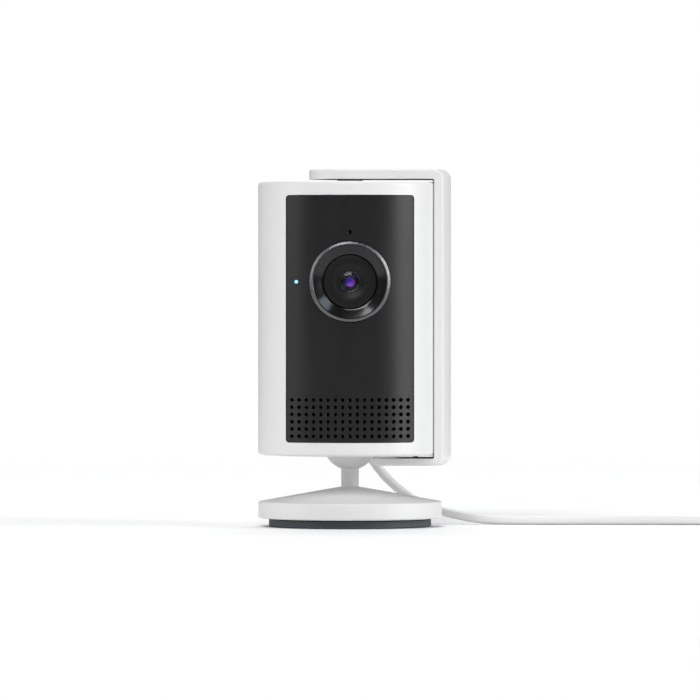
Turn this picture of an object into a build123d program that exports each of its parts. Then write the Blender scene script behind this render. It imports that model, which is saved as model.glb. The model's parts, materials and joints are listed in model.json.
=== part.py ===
from build123d import *
from math import cos, pi, radians, sin, sqrt, tan
import os

# Small indoor security camera on a round stand, in millimetres. The origin is the centre of the
# foot's underside, +Z is up, the lens looks along -Y and the open privacy cover stands at +X.

os.makedirs("parts", exist_ok=True)

# ---- fits and clearances -------------------------------------------------------------------
RUNNING = 0.05          # radial gap of a shaft that turns or slides in a hole
SEAT_GAP = 0.1          # gap between nested spherical seats
FIT_GAP = 0.1           # gap round a piece that is set into a recess
SEAM = 0.06             # line between the two housing halves
CUT = 1.0               # how far a cutter runs past what it cuts
SAME = 0.01             # two lengths closer than this are the same

# ---- screws --------------------------------------------------------------------------------
SCREW_R = 1.0
SCREW_HEAD_R = 1.8
SCREW_HEAD = 1.0
DRIVE_R = 0.75          # recess for the screwdriver
DRIVE_DEPTH = 0.5

# ---- base ----------------------------------------------------------------------------------
BASE_R = 24.55
BASE_BOTTOM = 2.35      # underside of the white rim
RIM_TOP = 6.75
RIM_ROUND = 0.6
LOWER_ROUND = 0.45      # lower edges of the rim and of the foot
CONE_TOP = 10.7
BASE_WALL = 1.6
BASE_FLOOR = 1.2
BASE_FLOOR_SINK = 0.15  # floor above the rim's underside
BASE_SCREW_INSET = 3.45
BASE_SCREW_COUNT = 3
BASE_SCREW_START = 30.0
BASE_SCREW_LENGTH = 3.4
BASE_SCREW_SINK = 0.7
BASE_BOSS_R = 2.4
WEIGHT_GAP = 0.4        # steel weight round the stem's collar
WEIGHT_INSET = 0.5      # steel weight inside the screw bosses

# ---- foot and wall bracket -----------------------------------------------------------------
FOOT_INSET = 2.85       # foot's edge inside the base's edge
FOOT_PAD = 1.0          # rubber pad thickness
BRACKET_PLATE = 1.15
BRACKET_EDGE = 0.3
BRACKET_SCREW_SPACING = 15.0
BRACKET_SCREW_R = 1.8
BRACKET_HEAD_R = 3.6    # opening in the pad for a wall screw's head
HUB_INSET = 7.8
HUB_WALL = 2.3
HUB_PLAY = 0.3
LUG_REACH = 1.5
LUG_HEIGHT = 1.0
LUG_HALF_ANGLE = 14.0
LUG_COUNT = 3
LUG_PLAY = 0.2          # lug above the base floor
LUG_SIDE_PLAY = 0.4
LUG_ANGLE_PLAY = 2.0
LUG_ROOF_PLAY = 0.3     # what stands in the base above the lugs
STOP_ANGLE = 4.0        # stop's middle from the lug's end
STOP_HALF_ANGLE = 2.5
UNLOCK_ANGLE = 36.0

# ---- stem and ball -------------------------------------------------------------------------
STEM_R = 2.37
STEM_FLANGE_R = 5.2
STEM_FLANGE = 1.3
STEM_COLLAR = 1.4       # base's collar round the stem's flange
STEM_INTO_BALL = 2.4    # stem's end below the ball's centre
BALL_R = 7.2
BALL_Z = 22.3
BALL_SINK = 3.1         # ball's centre above the body's underside
BALL_SCREW_SEAT = 0.8   # screw's seat below the ball's centre
BALL_SCREW_HEAD_R = 2.0
BALL_SCREW_HEAD = 1.45
BALL_SCREW_REACH = 8.5  # screw's tip below the ball's centre
BALL_WELL_R = 2.5
LINER_WALL = 1.2
LINER_EDGE = 1.6        # liner's rim above the ball's centre
LINER_CROWN = 0.9       # flat at the liner's top
LINER_HOLE_R = 3.2
CUP_WALL = 1.5
CUP_EDGE = 0.4          # cup's rim above the ball's centre
CUP_CROWN = 0.2
CUP_HOLE_R = 3.6
WASHER = 0.5
WASHER_HOLE_R = 4.6
WASHER_INSET = 1.2
RETAINER_WALL = 1.1
RETAINER_TOP = 1.2
RETAINER_FLANGE = 1.6
RETAINER_SCREW_OUT = 2.1    # screws outside the retainer's wall
RETAINER_EDGE = 1.9
RETAINER_SCREW_COUNT = 3
RETAINER_SCREW_BITE = 1.4

# ---- head housing --------------------------------------------------------------------------
BODY_R = 24.55
BODY_HEIGHT = 72.8
WALL = 1.8
FLOOR = 2.4
EDGE_ROUND = 0.9
SPLIT_Y = 9.0           # plane where the rear cover meets the front housing
FACE_HALF_WIDTH = 17.0
FACE_MARGIN = 3.65      # white frame above and below the face
FACE_SINK = 0.15
FACE_LAP = 0.35         # face's back behind the wall's inside
FACE_CORNER = 0.9
FLANGE_THICK = 1.5
FLANGE_REACH = 1.6
FLANGE_LAP = 1.0
FLANGE_TOP_GAP = 0.25   # flange below the body's inner roof
RIB_THICK = 2.0
RIB_OVERLAP = 1.5
RIB_ROOT = 0.5          # how far ribs and bosses sink into the wall
HOUSING_SCREW_X = 11.0
HOUSING_SCREW_LOW = 4.5     # lower pair above the chassis' lower edge
HOUSING_SCREW_HIGH = 6.0    # upper pair below its upper edge
HOUSING_SCREW_SINK = 2.2
HOUSING_BOSS_R = 3.2
POST_R = 2.8
POST_LENGTH = 7.0       # chassis posts that the rear cover is screwed to

# ---- lens ----------------------------------------------------------------------------------
LENS_DROP = 26.6        # lens axis below the body's top
TRIM_R = 10.75
TRIM_LIP = 0.95
TRIM_FLAT = 0.15
TRIM_STAND = 0.25       # ring's edge in front of the face, where the face curves away
TRIM_CREST = 0.45
BEZEL_DEPTH = 0.85      # bezel's inner edge behind the ring's edge
BEZEL_STEP = 0.08
BARREL_R = 7.0
BARREL_GAP = 0.25
BARREL_STEP = 0.2       # barrel's rim behind the bezel's inner edge
BARREL_EDGE = 0.12
BARREL_MOUTH_R = 4.15
BARREL_THREAD_R = 5.0
BARREL_WALL = 1.0
BARREL_SHOULDER = 0.4
BARREL_SEAT = 1.6       # inner shoulder behind the lens seat
FRONT_LENS_R = 2.77
FRONT_LENS_DEPTH = 1.0  # front lens behind the barrel's rim
FRONT_LENS_FIT = 0.02
FRONT_LENS_BULGE = 1.6  # radius of its curve over its own radius
FRONT_LENS_THICK = 2.15
REAR_LENS_THICK = 1.35
LENS_SEAT = 3.55        # back of ring and bezel behind the ring's edge
COLLAR_WALL = 1.05
SENSOR_BEHIND = 6.2     # sensor board behind the lens seat
SENSOR_CLEAR = 2.2      # barrel's end in front of the sensor board
HOLDER_R = 6.3
HOLDER_HALF = 7.2
HOLDER_FOOT = 3.0
HOLDER_ROOM = 4.6
FILTER_HALF = 4.5
FILTER_THICK = 0.3
SENSOR_HALF = 4.0
SENSOR_THICK = 1.0

# ---- small front features ------------------------------------------------------------------
MIC_ABOVE = 2.35        # microphone hole above the ring
MIC_HOLE_R = 0.45
MIC_SEAL_R = 0.95
MIC_SEAL = 2.4
MIC_HALF = 1.9
MIC_THICK = 1.1
MIC_BOARD_HALF = 5.0
MIC_LOW = 1.0           # microphone's lower edge below its hole
MIC_HIGH = 3.0
MIC_BOARD_HIGH = 5.0
LED_INSET = 2.8         # status light inside the face's edge
LED_R = 0.5
LED_FIT = 0.02
LED_PACKAGE = (1.0, 1.2, 1.5)       # half width, depth, half height
LED_TAB_MARGIN = 0.6
IR_BOARD_INSET = 3.8
IR_BOARD_HALF_HEIGHT = 4.0
IR_LED_INSET = 2.2
IR_LED_INNER_X = 4.0
IR_LED_HALF = (1.7, 1.4)
IR_LED_DEPTH = 1.9
IR_CLEARANCE = 0.15
SPEAKER_EDGE = 1.6      # outer holes inside the face's edge
SPEAKER_ROWS = 6
SPEAKER_PITCH = 1.92
SPEAKER_HOLE_R = 0.47
SPEAKER_ABOVE = 6.55    # middle of the grille above the face's lower edge
SPEAKER_INSET = 1.5
SPEAKER_HEIGHT = 11.4
SPEAKER_CORNER = 2.5
SPEAKER_CLEARANCE = 0.25
SPEAKER_BACK_GAP = 0.8
MESH_INSET = 1.1
MESH_HEIGHT = 10.8
MESH_THICK = 0.25

# ---- privacy cover -------------------------------------------------------------------------
COVER_GAP = 0.35        # running gap round the body
COVER_WALL = 2.1
COVER_HALF_WIDTH = 10.9
COVER_TOP_GAP = 0.8
COVER_TOP = 2.6
COVER_BOTTOM_GAP = 0.8
COVER_BOTTOM = 1.9
COVER_OUTER_ROUND = 2.7
COVER_INNER_ROUND = 0.5
COVER_EDGE_ROUND = 0.55
COVER_NOTCH_R = 12.5    # lower arm stops this far from the ball's axis
PIVOT_R = 3.4
PIVOT_PROUD = 0.2       # pivot boss below the body's inner roof
PIVOT_ROOT = 0.5
PIVOT_WASHER_R = 5.5
PIVOT_WASHER = 0.6
PIVOT_HEAD_R = 2.0
PIVOT_HEAD = 1.3
PIVOT_SCREW_BITE = 1.4
GUIDE_R = 17.7
GUIDE_WIDTH = 0.8
GUIDE_DEPTH = 1.2
GUIDE_CLEARANCE = 0.3
GUIDE_HALF_LENGTH = 4.0
GUIDE_ROOT = 0.4
MAGNET_R = 2.05
MAGNET_THICK = 1.0
MAGNET_HEIGHT = 38.8    # above the body's underside

# ---- inside --------------------------------------------------------------------------------
BOARD = 1.2
SMALL_BOARD = 0.8
CHASSIS_Y = 3.0
CHASSIS_THICK = 1.5
CHASSIS_HALF_WIDTH = 20.0
CHASSIS_LOW = 17.8      # chassis above the body's underside
CHASSIS_HIGH = 4.0      # chassis below the body's top
MAIN_BOARD_STAND = 2.8  # main board's back in front of the chassis
MAIN_BOARD_HALF_WIDTH = 17.0
MAIN_BOARD_INSET = 2.0
BOARD_SCREW_X = 3.0
BOARD_SCREW_Z = 3.5
BOARD_BOSS_R = 2.2
SENSOR_BOARD_HALF = 10.0
SENSOR_POST_X = 8.0
SENSOR_POST_R = 1.5
SENSOR_POST_GAP = 0.3
CHIP_BELOW = 13.4       # processor below the lens axis
CHIP_HALF = 6.0
CHIP_THICK = 1.2
CAN_HALF = 10.0
CAN_HEIGHT = 2.2
CAN_METAL = 0.3
FLEX_BELOW = 7.5
FLEX_HALF = 4.0
FLEX_THICK = 0.2
ANTENNA_GAP = 0.1
ANTENNA_THICK = 0.3
ANTENNA_HALF_WIDTH = 7.0
ANTENNA_DROP = (30.0, 16.0)     # lower and upper edge below the body's top
POWER_BOARD = 1.0
POWER_BOARD_BEHIND = 6.35   # its front face inside the wall
POWER_BOARD_HALF = 11.0
POWER_BOARD_LIFT = 0.4
POWER_BOARD_ABOVE = 10.0    # its top above the port
PORT_ABOVE = 7.8        # port above the body's underside
PORT_HALF = (3.85, 1.5)
PORT_METAL = (0.35, 0.5)
PORT_BACK = 0.7
PORT_SINK = 1.25        # port's mouth inside the body's skin
PORT_OPENING = (4.3, 1.9)
RESET_X = -8.5
RESET_ABOVE = 6.4       # reset button above the port
RESET_R = 1.4
RESET_RIM = 0.6
RESET_RIM_THICK = 0.5
RESET_TRAVEL = 0.4
RESET_SINK = 0.1
SWITCH_HALF = 2.0
SWITCH_HEIGHT = 1.0
SWITCH_KEY = 0.5
SWITCH_KEY_R = 1.0

# ---- cable ---------------------------------------------------------------------------------
CABLE_D = 2.5
CABLE_R = CABLE_D / 2
PLUG_SIZE = (10.6, 7.0, 11.6)
PLUG_ROUND = 1.2
PLUG_GAP = 0.2          # plug behind the cover's path
PLUG_SHELL_HALF = (3.4, 0.9)
PLUG_SHELL_ROUND = 0.4
PLUG_SHELL_REACH = 1.4  # shell's end behind the power board
BOOT_R = 2.5
BOOT_LENGTH = 5.0
BOOT_LIP = 0.35
COIL_TURNS_WIDE = 4
COIL_TURNS_HIGH = 5
COIL_MEAN_R = 15.0
COIL_ROUND = 1.0
COIL_CENTRE = (117.5, 26.5)
USB_A_SIZE = (15.5, 15.0, 7.6)      # along the plug, across it, and high
USB_A_ROUND = 1.4
USB_A_SHELL = (12.0, 12.0, 4.5)
USB_A_METAL = 0.35
USB_A_TONGUE = (0.5, 0.6)           # tongue inside the shell at its root and at its mouth
USB_A_ROOT = 1.0
RELIEF = 5.0
RELIEF_R = (1.55, 2.6)
TIE_WALL = 0.8
TIE_GAP = (0.3, 0.05, 0.02)         # inside the coil, outside it and above it
TIE_HALF_WIDTH = 1.5
TIE_ANGLE = -60.0

DROP_ROUTE = [
    (5.0, 28.2, 18.4),
    (7.5, 28.3, 15.1),
    (10.7, 28.1, 11.3),
    (14.7, 27.1, 8.0),
    (19.3, 24.6, 5.3),
    (24.2, 20.9, 3.4),
    (29.4, 17.55, 2.425),
]
FLOOR_ROUTE = [
    (29.4, 17.55, 2.425),
    (34.6, 14.2, CABLE_R + 0.2),
    (42.4, 12.5, CABLE_R + 0.02),
    (54.0, 12.0, CABLE_R),
    (68.0, 12.4, CABLE_R),
    (82.0, 11.9, CABLE_R),
    (94.0, 10.2, CABLE_R),
    (104.5, 8.3, CABLE_R),
    (113.5, 7.8, CABLE_R),
]
TAIL_START_ANGLE = -32.5            # where the last turn leaves the coil
TAIL_TURN = 25.0
TAIL_RUNS = [8.0, 8.0, 8.0, 8.0, 6.0, 4.2, 4.2, 4.2, 4.2]
TAIL_CLIMB = [-1.0, 0.1, 1.0]       # its first points, above the coil's top
ARC_SHARE = 0.45                    # of a run that each arc beside it may take

# ---- derived: base and foot ----------------------------------------------------------------
PILOT_R = SCREW_R + RUNNING
RIM_IN = BASE_R - BASE_WALL
BASE_SCREW_CIRCLE = RIM_IN - BASE_SCREW_INSET
WEIGHT_R = BASE_SCREW_CIRCLE - BASE_BOSS_R - WEIGHT_INSET
FOOT_R = BASE_R - FOOT_INSET
HUB_R = FOOT_R - HUB_INSET
BRACKET_TOP = FOOT_PAD + BRACKET_PLATE
FLOOR_Z = BASE_BOTTOM + BASE_FLOOR_SINK
FLOOR_TOP = FLOOR_Z + BASE_FLOOR
LUG_Z = FLOOR_TOP + LUG_PLAY
LUG_TOP = LUG_Z + LUG_HEIGHT
INSIDE_Z = LUG_TOP + LUG_ROOF_PLAY
CONE_SLOPE = (CONE_TOP - RIM_TOP) / (BASE_R - RIM_ROUND - STEM_R)

# ---- derived: head -------------------------------------------------------------------------
BODY_BOTTOM = BALL_Z - BALL_SINK
BODY_TOP = BODY_BOTTOM + BODY_HEIGHT
INNER_R = BODY_R - WALL
INSIDE_BOTTOM = BODY_BOTTOM + FLOOR
INSIDE_TOP = BODY_TOP - WALL
FACE_Z = (BODY_BOTTOM + FACE_MARGIN, BODY_TOP - FACE_MARGIN)
FACE_R = BODY_R - FACE_SINK
FACE_BACK_R = INNER_R - FACE_LAP
FLANGE_R = INNER_R - RUNNING
LENS_Z = BODY_TOP - LENS_DROP
PORT_Z = BODY_BOTTOM + PORT_ABOVE
RESET_Z = PORT_Z + RESET_ABOVE
CHASSIS_Z = (BODY_BOTTOM + CHASSIS_LOW, BODY_TOP - CHASSIS_HIGH)
CHASSIS_BACK = CHASSIS_Y + CHASSIS_THICK
POST_END = CHASSIS_BACK + POST_LENGTH
HOUSING_SCREW_Z = (CHASSIS_Z[0] + HOUSING_SCREW_LOW, CHASSIS_Z[1] - HOUSING_SCREW_HIGH)
BEYOND = 2 * BODY_R             # well outside the camera
TALL = (0.0, 2 * BODY_TOP)      # from the floor to well above the camera

# ---- derived: ball joint -------------------------------------------------------------------
STEM_TOP = BALL_Z - STEM_INTO_BALL
LINER_IN = BALL_R + SEAT_GAP
LINER_OUT = LINER_IN + LINER_WALL
CUP_IN = LINER_OUT + SEAT_GAP
CUP_OUT = CUP_IN + CUP_WALL
CUP_TOP = BALL_Z + CUP_OUT - CUP_CROWN
RETAINER_IN = CUP_OUT + FIT_GAP
RETAINER_R = RETAINER_IN + RETAINER_WALL
RETAINER_SCREW_R = RETAINER_R + RETAINER_SCREW_OUT
RETAINER_FLANGE_R = RETAINER_SCREW_R + RETAINER_EDGE
RETAINER_FLANGE_TOP = INSIDE_BOTTOM + RETAINER_FLANGE
RETAINER_ROOF = CUP_TOP + WASHER

# ---- derived: lens and front ---------------------------------------------------------------
TRIM_CREST_R = TRIM_R - TRIM_LIP
TRIM_EDGE_Y = -sqrt(FACE_R ** 2 - TRIM_R ** 2) - TRIM_STAND
TRIM_CREST_Y = TRIM_EDGE_Y - TRIM_CREST
COLLAR_R = TRIM_R + FIT_GAP + COLLAR_WALL
BEZEL_INNER_R = BARREL_R + BARREL_GAP
BEZEL_INNER_Y = TRIM_EDGE_Y + BEZEL_DEPTH
BARREL_Y = BEZEL_INNER_Y + BARREL_STEP
FRONT_LENS_Y = BARREL_Y + FRONT_LENS_DEPTH
LENS_SEAT_Y = TRIM_EDGE_Y + LENS_SEAT
SENSOR_BOARD_Y = (LENS_SEAT_Y + SENSOR_BEHIND, LENS_SEAT_Y + SENSOR_BEHIND + SMALL_BOARD)
THREAD_END_Y = SENSOR_BOARD_Y[0] - SENSOR_CLEAR
MAIN_BOARD_Y = (CHASSIS_Y - MAIN_BOARD_STAND - BOARD, CHASSIS_Y - MAIN_BOARD_STAND)
MAIN_BOARD_Z = (CHASSIS_Z[0] + MAIN_BOARD_INSET, CHASSIS_Z[1] - MAIN_BOARD_INSET)
MIC_Z = LENS_Z + TRIM_R + MIC_ABOVE
LED_X = LED_INSET - FACE_HALF_WIDTH
SPEAKER_Z = FACE_Z[0] + SPEAKER_ABOVE
SPEAKER_COLUMNS = 1 + int(2 * (FACE_HALF_WIDTH - SPEAKER_EDGE) / SPEAKER_PITCH)
SPEAKER_HALF_WIDTH = FACE_HALF_WIDTH - SPEAKER_INSET
MESH_IN = FACE_BACK_R - RUNNING - MESH_THICK

# ---- derived: privacy cover and plug -------------------------------------------------------
COVER_IN = BODY_R + COVER_GAP
COVER_OUT = COVER_IN + COVER_WALL
COVER_ARM_Z = BODY_TOP + COVER_TOP_GAP
COVER_TOP_Z = COVER_ARM_Z + COVER_TOP
COVER_LOW_Z = BODY_BOTTOM - COVER_BOTTOM_GAP
COVER_BOTTOM_Z = COVER_LOW_Z - COVER_BOTTOM
POWER_BOARD_Y = (INNER_R - POWER_BOARD_BEHIND, INNER_R - POWER_BOARD_BEHIND + POWER_BOARD)
PLUG_FACE_Y = COVER_IN + PLUG_GAP


# ---- helpers -------------------------------------------------------------------------------
def block(x, y, z):
    """A box from its (low, high) pairs."""
    size = [pair[1] - pair[0] for pair in (x, y, z)]
    return Pos(x[0], y[0], z[0]) * Box(*size, align=(Align.MIN, Align.MIN, Align.MIN))


def about(middle, half):
    """The (low, high) pair round a middle."""
    return (middle - half, middle + half)


def upright(radius, z, at=(0.0, 0.0)):
    """A cylinder along Z between two heights."""
    rod = Cylinder(radius, z[1] - z[0], align=(Align.CENTER, Align.CENTER, Align.MIN))
    return Pos(at[0], at[1], z[0]) * rod


def ring(outer, inner, z):
    """An upright tube between two heights."""
    return upright(outer, z) - upright(inner, (z[0] - CUT, z[1] + CUT))


def level(radius, y, x=0.0, z=0.0):
    """A cylinder along Y between two depths."""
    rod = Cylinder(radius, y[1] - y[0], align=(Align.CENTER, Align.CENTER, Align.MIN))
    return Pos(x, y[0], z) * Rot(-90, 0, 0) * rod


def outline(points):
    """A closed flat outline. A third number at a point rounds that corner."""
    face = make_face(Polyline(*[point[:2] for point in points], close=True))
    for point in points:
        if len(point) == 3:
            corner = face.vertices().sort_by_distance((point[0], point[1], 0))[0]
            face = fillet(corner, point[2])
    return face


def turned(points):
    """An outline of (radius, height) turned about Z."""
    return revolve(Plane.XZ * outline(points), axis=Axis.Z)


def turned_on_lens(points):
    """An outline of (radius, depth) turned about the lens axis."""
    return Pos(0, 0, LENS_Z) * revolve(outline(points), axis=Axis.Y)


def front_wall(outer, inner, z):
    """A tube wall, cut back to its front half."""
    return ring(outer, inner, z) & block(about(0, outer + CUT), (-outer - CUT, 0), z)


def sector(inner, outer, z, middle, half_angle):
    """A piece of a ring round the Z axis."""
    width = 2 * outer * tan(radians(half_angle))
    wedge = Polyline((0, 0), (2 * outer, -width), (2 * outer, width), close=True)
    cutter = extrude(make_face(wedge), z[1] - z[0])
    return Rot(0, 0, middle) * (ring(outer, inner, z) & (Pos(0, 0, z[0]) * cutter))


def around(radius, count, start=0.0):
    """Evenly spaced places on a circle about Z."""
    angles = [radians(start + 360 * step / count) for step in range(count)]
    return [(radius * cos(angle), radius * sin(angle)) for angle in angles]


def save(node, shape):
    """Write one node, and stop if it holds no solid."""
    solids = shape.solids()
    assert solids, node
    export_step(solids[0] if len(solids) == 1 else Compound(children=solids), f"parts/{node}.step")


# ---- base sub-assembly ---------------------------------------------------------------------
def cone_height(radius, drop=0.0):
    """Height of the base's cone at a radius, lowered by a wall."""
    return RIM_TOP + (BASE_R - RIM_ROUND - radius) * CONE_SLOPE - drop


def make_base():
    """The white base, its weight and floor, and the stem that stands in it."""
    collar_r = STEM_FLANGE_R + STEM_COLLAR
    flange_top = INSIDE_Z + STEM_FLANGE
    stem_hole = STEM_R + RUNNING
    base_shell = turned([
        (RIM_IN, BASE_BOTTOM),
        (BASE_R, BASE_BOTTOM, LOWER_ROUND),
        (BASE_R, RIM_TOP, RIM_ROUND),
        (stem_hole, cone_height(stem_hole)),
        (stem_hole, flange_top),
        (collar_r, flange_top),
        (collar_r, cone_height(collar_r, BASE_WALL)),
        (RIM_IN, cone_height(RIM_IN, BASE_WALL)),
    ])
    screw_places = around(BASE_SCREW_CIRCLE, BASE_SCREW_COUNT, BASE_SCREW_START)
    boss_top = cone_height(BASE_SCREW_CIRCLE, BASE_WALL / 2)
    for place in screw_places:
        base_shell += upright(BASE_BOSS_R, (FLOOR_TOP, boss_top), place)
        base_shell -= upright(PILOT_R, (FLOOR_TOP - CUT, boss_top - BASE_WALL / 2), place)
    save("base_shell", base_shell)

    weight_in = collar_r + WEIGHT_GAP
    clearance = BASE_WALL + FIT_GAP
    save("base_weight", turned([
        (weight_in, INSIDE_Z),
        (WEIGHT_R, INSIDE_Z),
        (WEIGHT_R, cone_height(WEIGHT_R, clearance)),
        (weight_in, cone_height(weight_in, clearance)),
    ]))
    make_base_floor(screw_places)

    stem = upright(STEM_R, (INSIDE_Z, STEM_TOP)) + upright(STEM_FLANGE_R, (INSIDE_Z, flange_top))
    stem -= upright(PILOT_R, (BALL_Z - BALL_SCREW_REACH - RIM_ROUND, BALL_Z))
    save("stem", stem)


def make_base_floor(screw_places):
    """The base's floor, with the notches that let the bracket's lugs in, and its screws."""
    bore = HUB_R + HUB_PLAY
    through = (FLOOR_Z - CUT, FLOOR_TOP + CUT)
    base_floor = ring(RIM_IN - RUNNING, bore, (FLOOR_Z, FLOOR_TOP))
    for step in range(LUG_COUNT):
        middle = 360 / LUG_COUNT * step
        reach = bore + LUG_REACH
        base_floor -= sector(bore - CUT, reach + LUG_SIDE_PLAY, through,
                             middle + UNLOCK_ANGLE, LUG_HALF_ANGLE + LUG_ANGLE_PLAY)
        base_floor += sector(bore + LUG_PLAY, reach, (FLOOR_TOP, LUG_TOP - LUG_PLAY),
                             middle - LUG_HALF_ANGLE - STOP_ANGLE, STOP_HALF_ANGLE)
    screws = []
    for place in screw_places:
        base_floor -= upright(PILOT_R, through, place)
        base_floor -= upright(SCREW_HEAD_R + FIT_GAP, (FLOOR_Z - CUT, FLOOR_Z + BASE_SCREW_SINK), place)
        head = upright(SCREW_HEAD_R, (FLOOR_Z, FLOOR_Z + BASE_SCREW_SINK), place)
        screws.append(head + upright(SCREW_R, (FLOOR_Z, FLOOR_Z + BASE_SCREW_LENGTH), place))
    save("base_floor", base_floor)
    save("base_screws", Compound(children=screws))


def make_bracket():
    """The plate that the base turns and locks on to, with the rubber pad under it."""
    holes = [(BRACKET_SCREW_SPACING / 2, 0.0), (-BRACKET_SCREW_SPACING / 2, 0.0)]
    pad = turned([(0, 0), (FOOT_R, 0, LOWER_ROUND), (FOOT_R, FOOT_PAD), (0, FOOT_PAD)])
    plate = turned([
        (0, FOOT_PAD),
        (FOOT_R, FOOT_PAD),
        (FOOT_R, BRACKET_TOP, BRACKET_EDGE),
        (0, BRACKET_TOP),
    ])
    plate += ring(HUB_R, HUB_R - HUB_WALL, (BRACKET_TOP - LUG_PLAY, LUG_TOP))
    for step in range(LUG_COUNT):
        middle = 360 / LUG_COUNT * step
        plate += sector(HUB_R - CUT / 2, HUB_R + LUG_REACH, (LUG_Z, LUG_TOP), middle, LUG_HALF_ANGLE)
    for place in holes:
        pad -= upright(BRACKET_HEAD_R, (-CUT, FOOT_PAD + CUT), place)
        plate -= upright(BRACKET_SCREW_R, (0, BRACKET_TOP + CUT), place)
    save("rubber_foot", pad)
    save("mount_bracket", plate)


# ---- ball joint ----------------------------------------------------------------------------
def ball_of(radius):
    """A ball about the joint's centre."""
    return Pos(0, 0, BALL_Z) * Sphere(radius)


def make_ball_joint():
    """The ball on the stem, and the socket that the head turns and tilts on."""
    seat = BALL_Z - BALL_SCREW_SEAT
    ball = ball_of(BALL_R)
    ball -= upright(STEM_R + RUNNING, (0, STEM_TOP + RUNNING))
    ball -= upright(PILOT_R, (0, BALL_Z))
    ball -= upright(BALL_WELL_R, (seat, BALL_Z + BALL_R + CUT))
    save("ball", ball)
    head_top = seat + RUNNING + BALL_SCREW_HEAD
    ball_screw = upright(BALL_SCREW_HEAD_R, (seat + RUNNING, head_top))
    ball_screw += upright(SCREW_R, (BALL_Z - BALL_SCREW_REACH, seat + CUT))
    ball_screw -= upright(DRIVE_R, (head_top - DRIVE_DEPTH, head_top + CUT))
    save("ball_screw", ball_screw)

    liner = ball_of(LINER_OUT) - ball_of(LINER_IN)
    liner &= block(about(0, BEYOND), about(0, BEYOND), (BALL_Z + LINER_EDGE, BALL_Z + LINER_OUT - LINER_CROWN))
    save("socket_liner", liner - upright(LINER_HOLE_R, (BALL_Z, CUP_TOP)))
    cup = upright(CUP_OUT, (BALL_Z + CUP_EDGE, CUP_TOP)) - ball_of(CUP_IN)
    save("socket_cup", cup - upright(CUP_HOLE_R, (BALL_Z, CUP_TOP + CUT)))
    save("spring_washer", ring(CUP_OUT - WASHER_INSET, WASHER_HOLE_R, (CUP_TOP, RETAINER_ROOF)))
    make_retainer()


def make_retainer():
    """The cap that holds the socket down, screwed to the body's floor."""
    retainer = ring(RETAINER_R, RETAINER_IN, (INSIDE_BOTTOM, RETAINER_ROOF))
    retainer += ring(RETAINER_FLANGE_R, RETAINER_IN, (INSIDE_BOTTOM, RETAINER_FLANGE_TOP))
    retainer += ring(RETAINER_R, WASHER_HOLE_R, (RETAINER_ROOF, RETAINER_ROOF + RETAINER_TOP))
    screws = []
    for place in retainer_screw_places():
        retainer -= upright(PILOT_R, (INSIDE_BOTTOM - CUT, RETAINER_FLANGE_TOP + CUT), place)
        retainer -= upright(SCREW_HEAD_R + RUNNING, (RETAINER_FLANGE_TOP, RETAINER_ROOF + 2 * CUT), place)
        tip = INSIDE_BOTTOM - RETAINER_SCREW_BITE
        shank = upright(SCREW_R, (tip, RETAINER_FLANGE_TOP + SCREW_HEAD), place)
        head = upright(SCREW_HEAD_R, (RETAINER_FLANGE_TOP, RETAINER_FLANGE_TOP + SCREW_HEAD), place)
        screws.append(shank + head)
    save("socket_retainer", retainer)
    save("retainer_screws", Compound(children=screws))


def retainer_screw_places():
    """Where the retainer's screws stand, the first of them at the back."""
    return around(RETAINER_SCREW_R, RETAINER_SCREW_COUNT, 90)


# ---- head housing --------------------------------------------------------------------------
def face_opening(grow=0.0):
    """The upright cut in the front wall that the face fills, made larger by grow."""
    width = 2 * (FACE_HALF_WIDTH + grow)
    height = FACE_Z[1] - FACE_Z[0] + 2 * grow
    flat = RectangleRounded(width, height, FACE_CORNER + grow)
    middle = Pos(0, -BODY_R - CUT, (FACE_Z[0] + FACE_Z[1]) / 2) * Rot(90, 0, 0)
    return extrude(middle * flat, amount=-BODY_R)


def make_housing():
    """The front housing and the rear cover, cut from one closed body."""
    whole = turned([
        (0, BODY_BOTTOM),
        (BODY_R, BODY_BOTTOM, EDGE_ROUND),
        (BODY_R, BODY_TOP, EDGE_ROUND),
        (0, BODY_TOP),
    ])
    whole -= upright(INNER_R, (INSIDE_BOTTOM, INSIDE_TOP))
    whole -= ball_of(BALL_R + SEAT_GAP)
    whole -= upright(PIVOT_R + RUNNING, (INSIDE_TOP - CUT, BODY_TOP + CUT))
    groove_half = GUIDE_WIDTH / 2 + GUIDE_CLEARANCE
    groove_z = (BODY_BOTTOM - CUT, BODY_BOTTOM + GUIDE_DEPTH)
    whole -= ring(GUIDE_R + groove_half, GUIDE_R - groove_half, groove_z)
    for place in retainer_screw_places():
        bite = INSIDE_BOTTOM - RETAINER_SCREW_BITE - LUG_PLAY
        whole -= upright(PILOT_R, (bite, INSIDE_BOTTOM + CUT), place)
    make_front_housing(whole & block(about(0, BEYOND), (-BEYOND, SPLIT_Y - SEAM / 2), TALL))
    make_rear_cover(whole & block(about(0, BEYOND), (SPLIT_Y + SEAM / 2, BEYOND), TALL))


def make_front_housing(front):
    """The front half: the opening for the face, and the ribs that the chassis rests on."""
    front -= face_opening()
    rib_end = CHASSIS_Y - FIT_GAP
    root = upright(INNER_R + RIB_ROOT, CHASSIS_Z)
    for side in (-1, 1):
        rib_x = sorted((side * (CHASSIS_HALF_WIDTH - RIB_OVERLAP), side * (INNER_R + RIB_ROOT)))
        front += block(rib_x, (rib_end - RIB_THICK, rib_end), CHASSIS_Z) & root
    save("front_housing", front)


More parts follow.
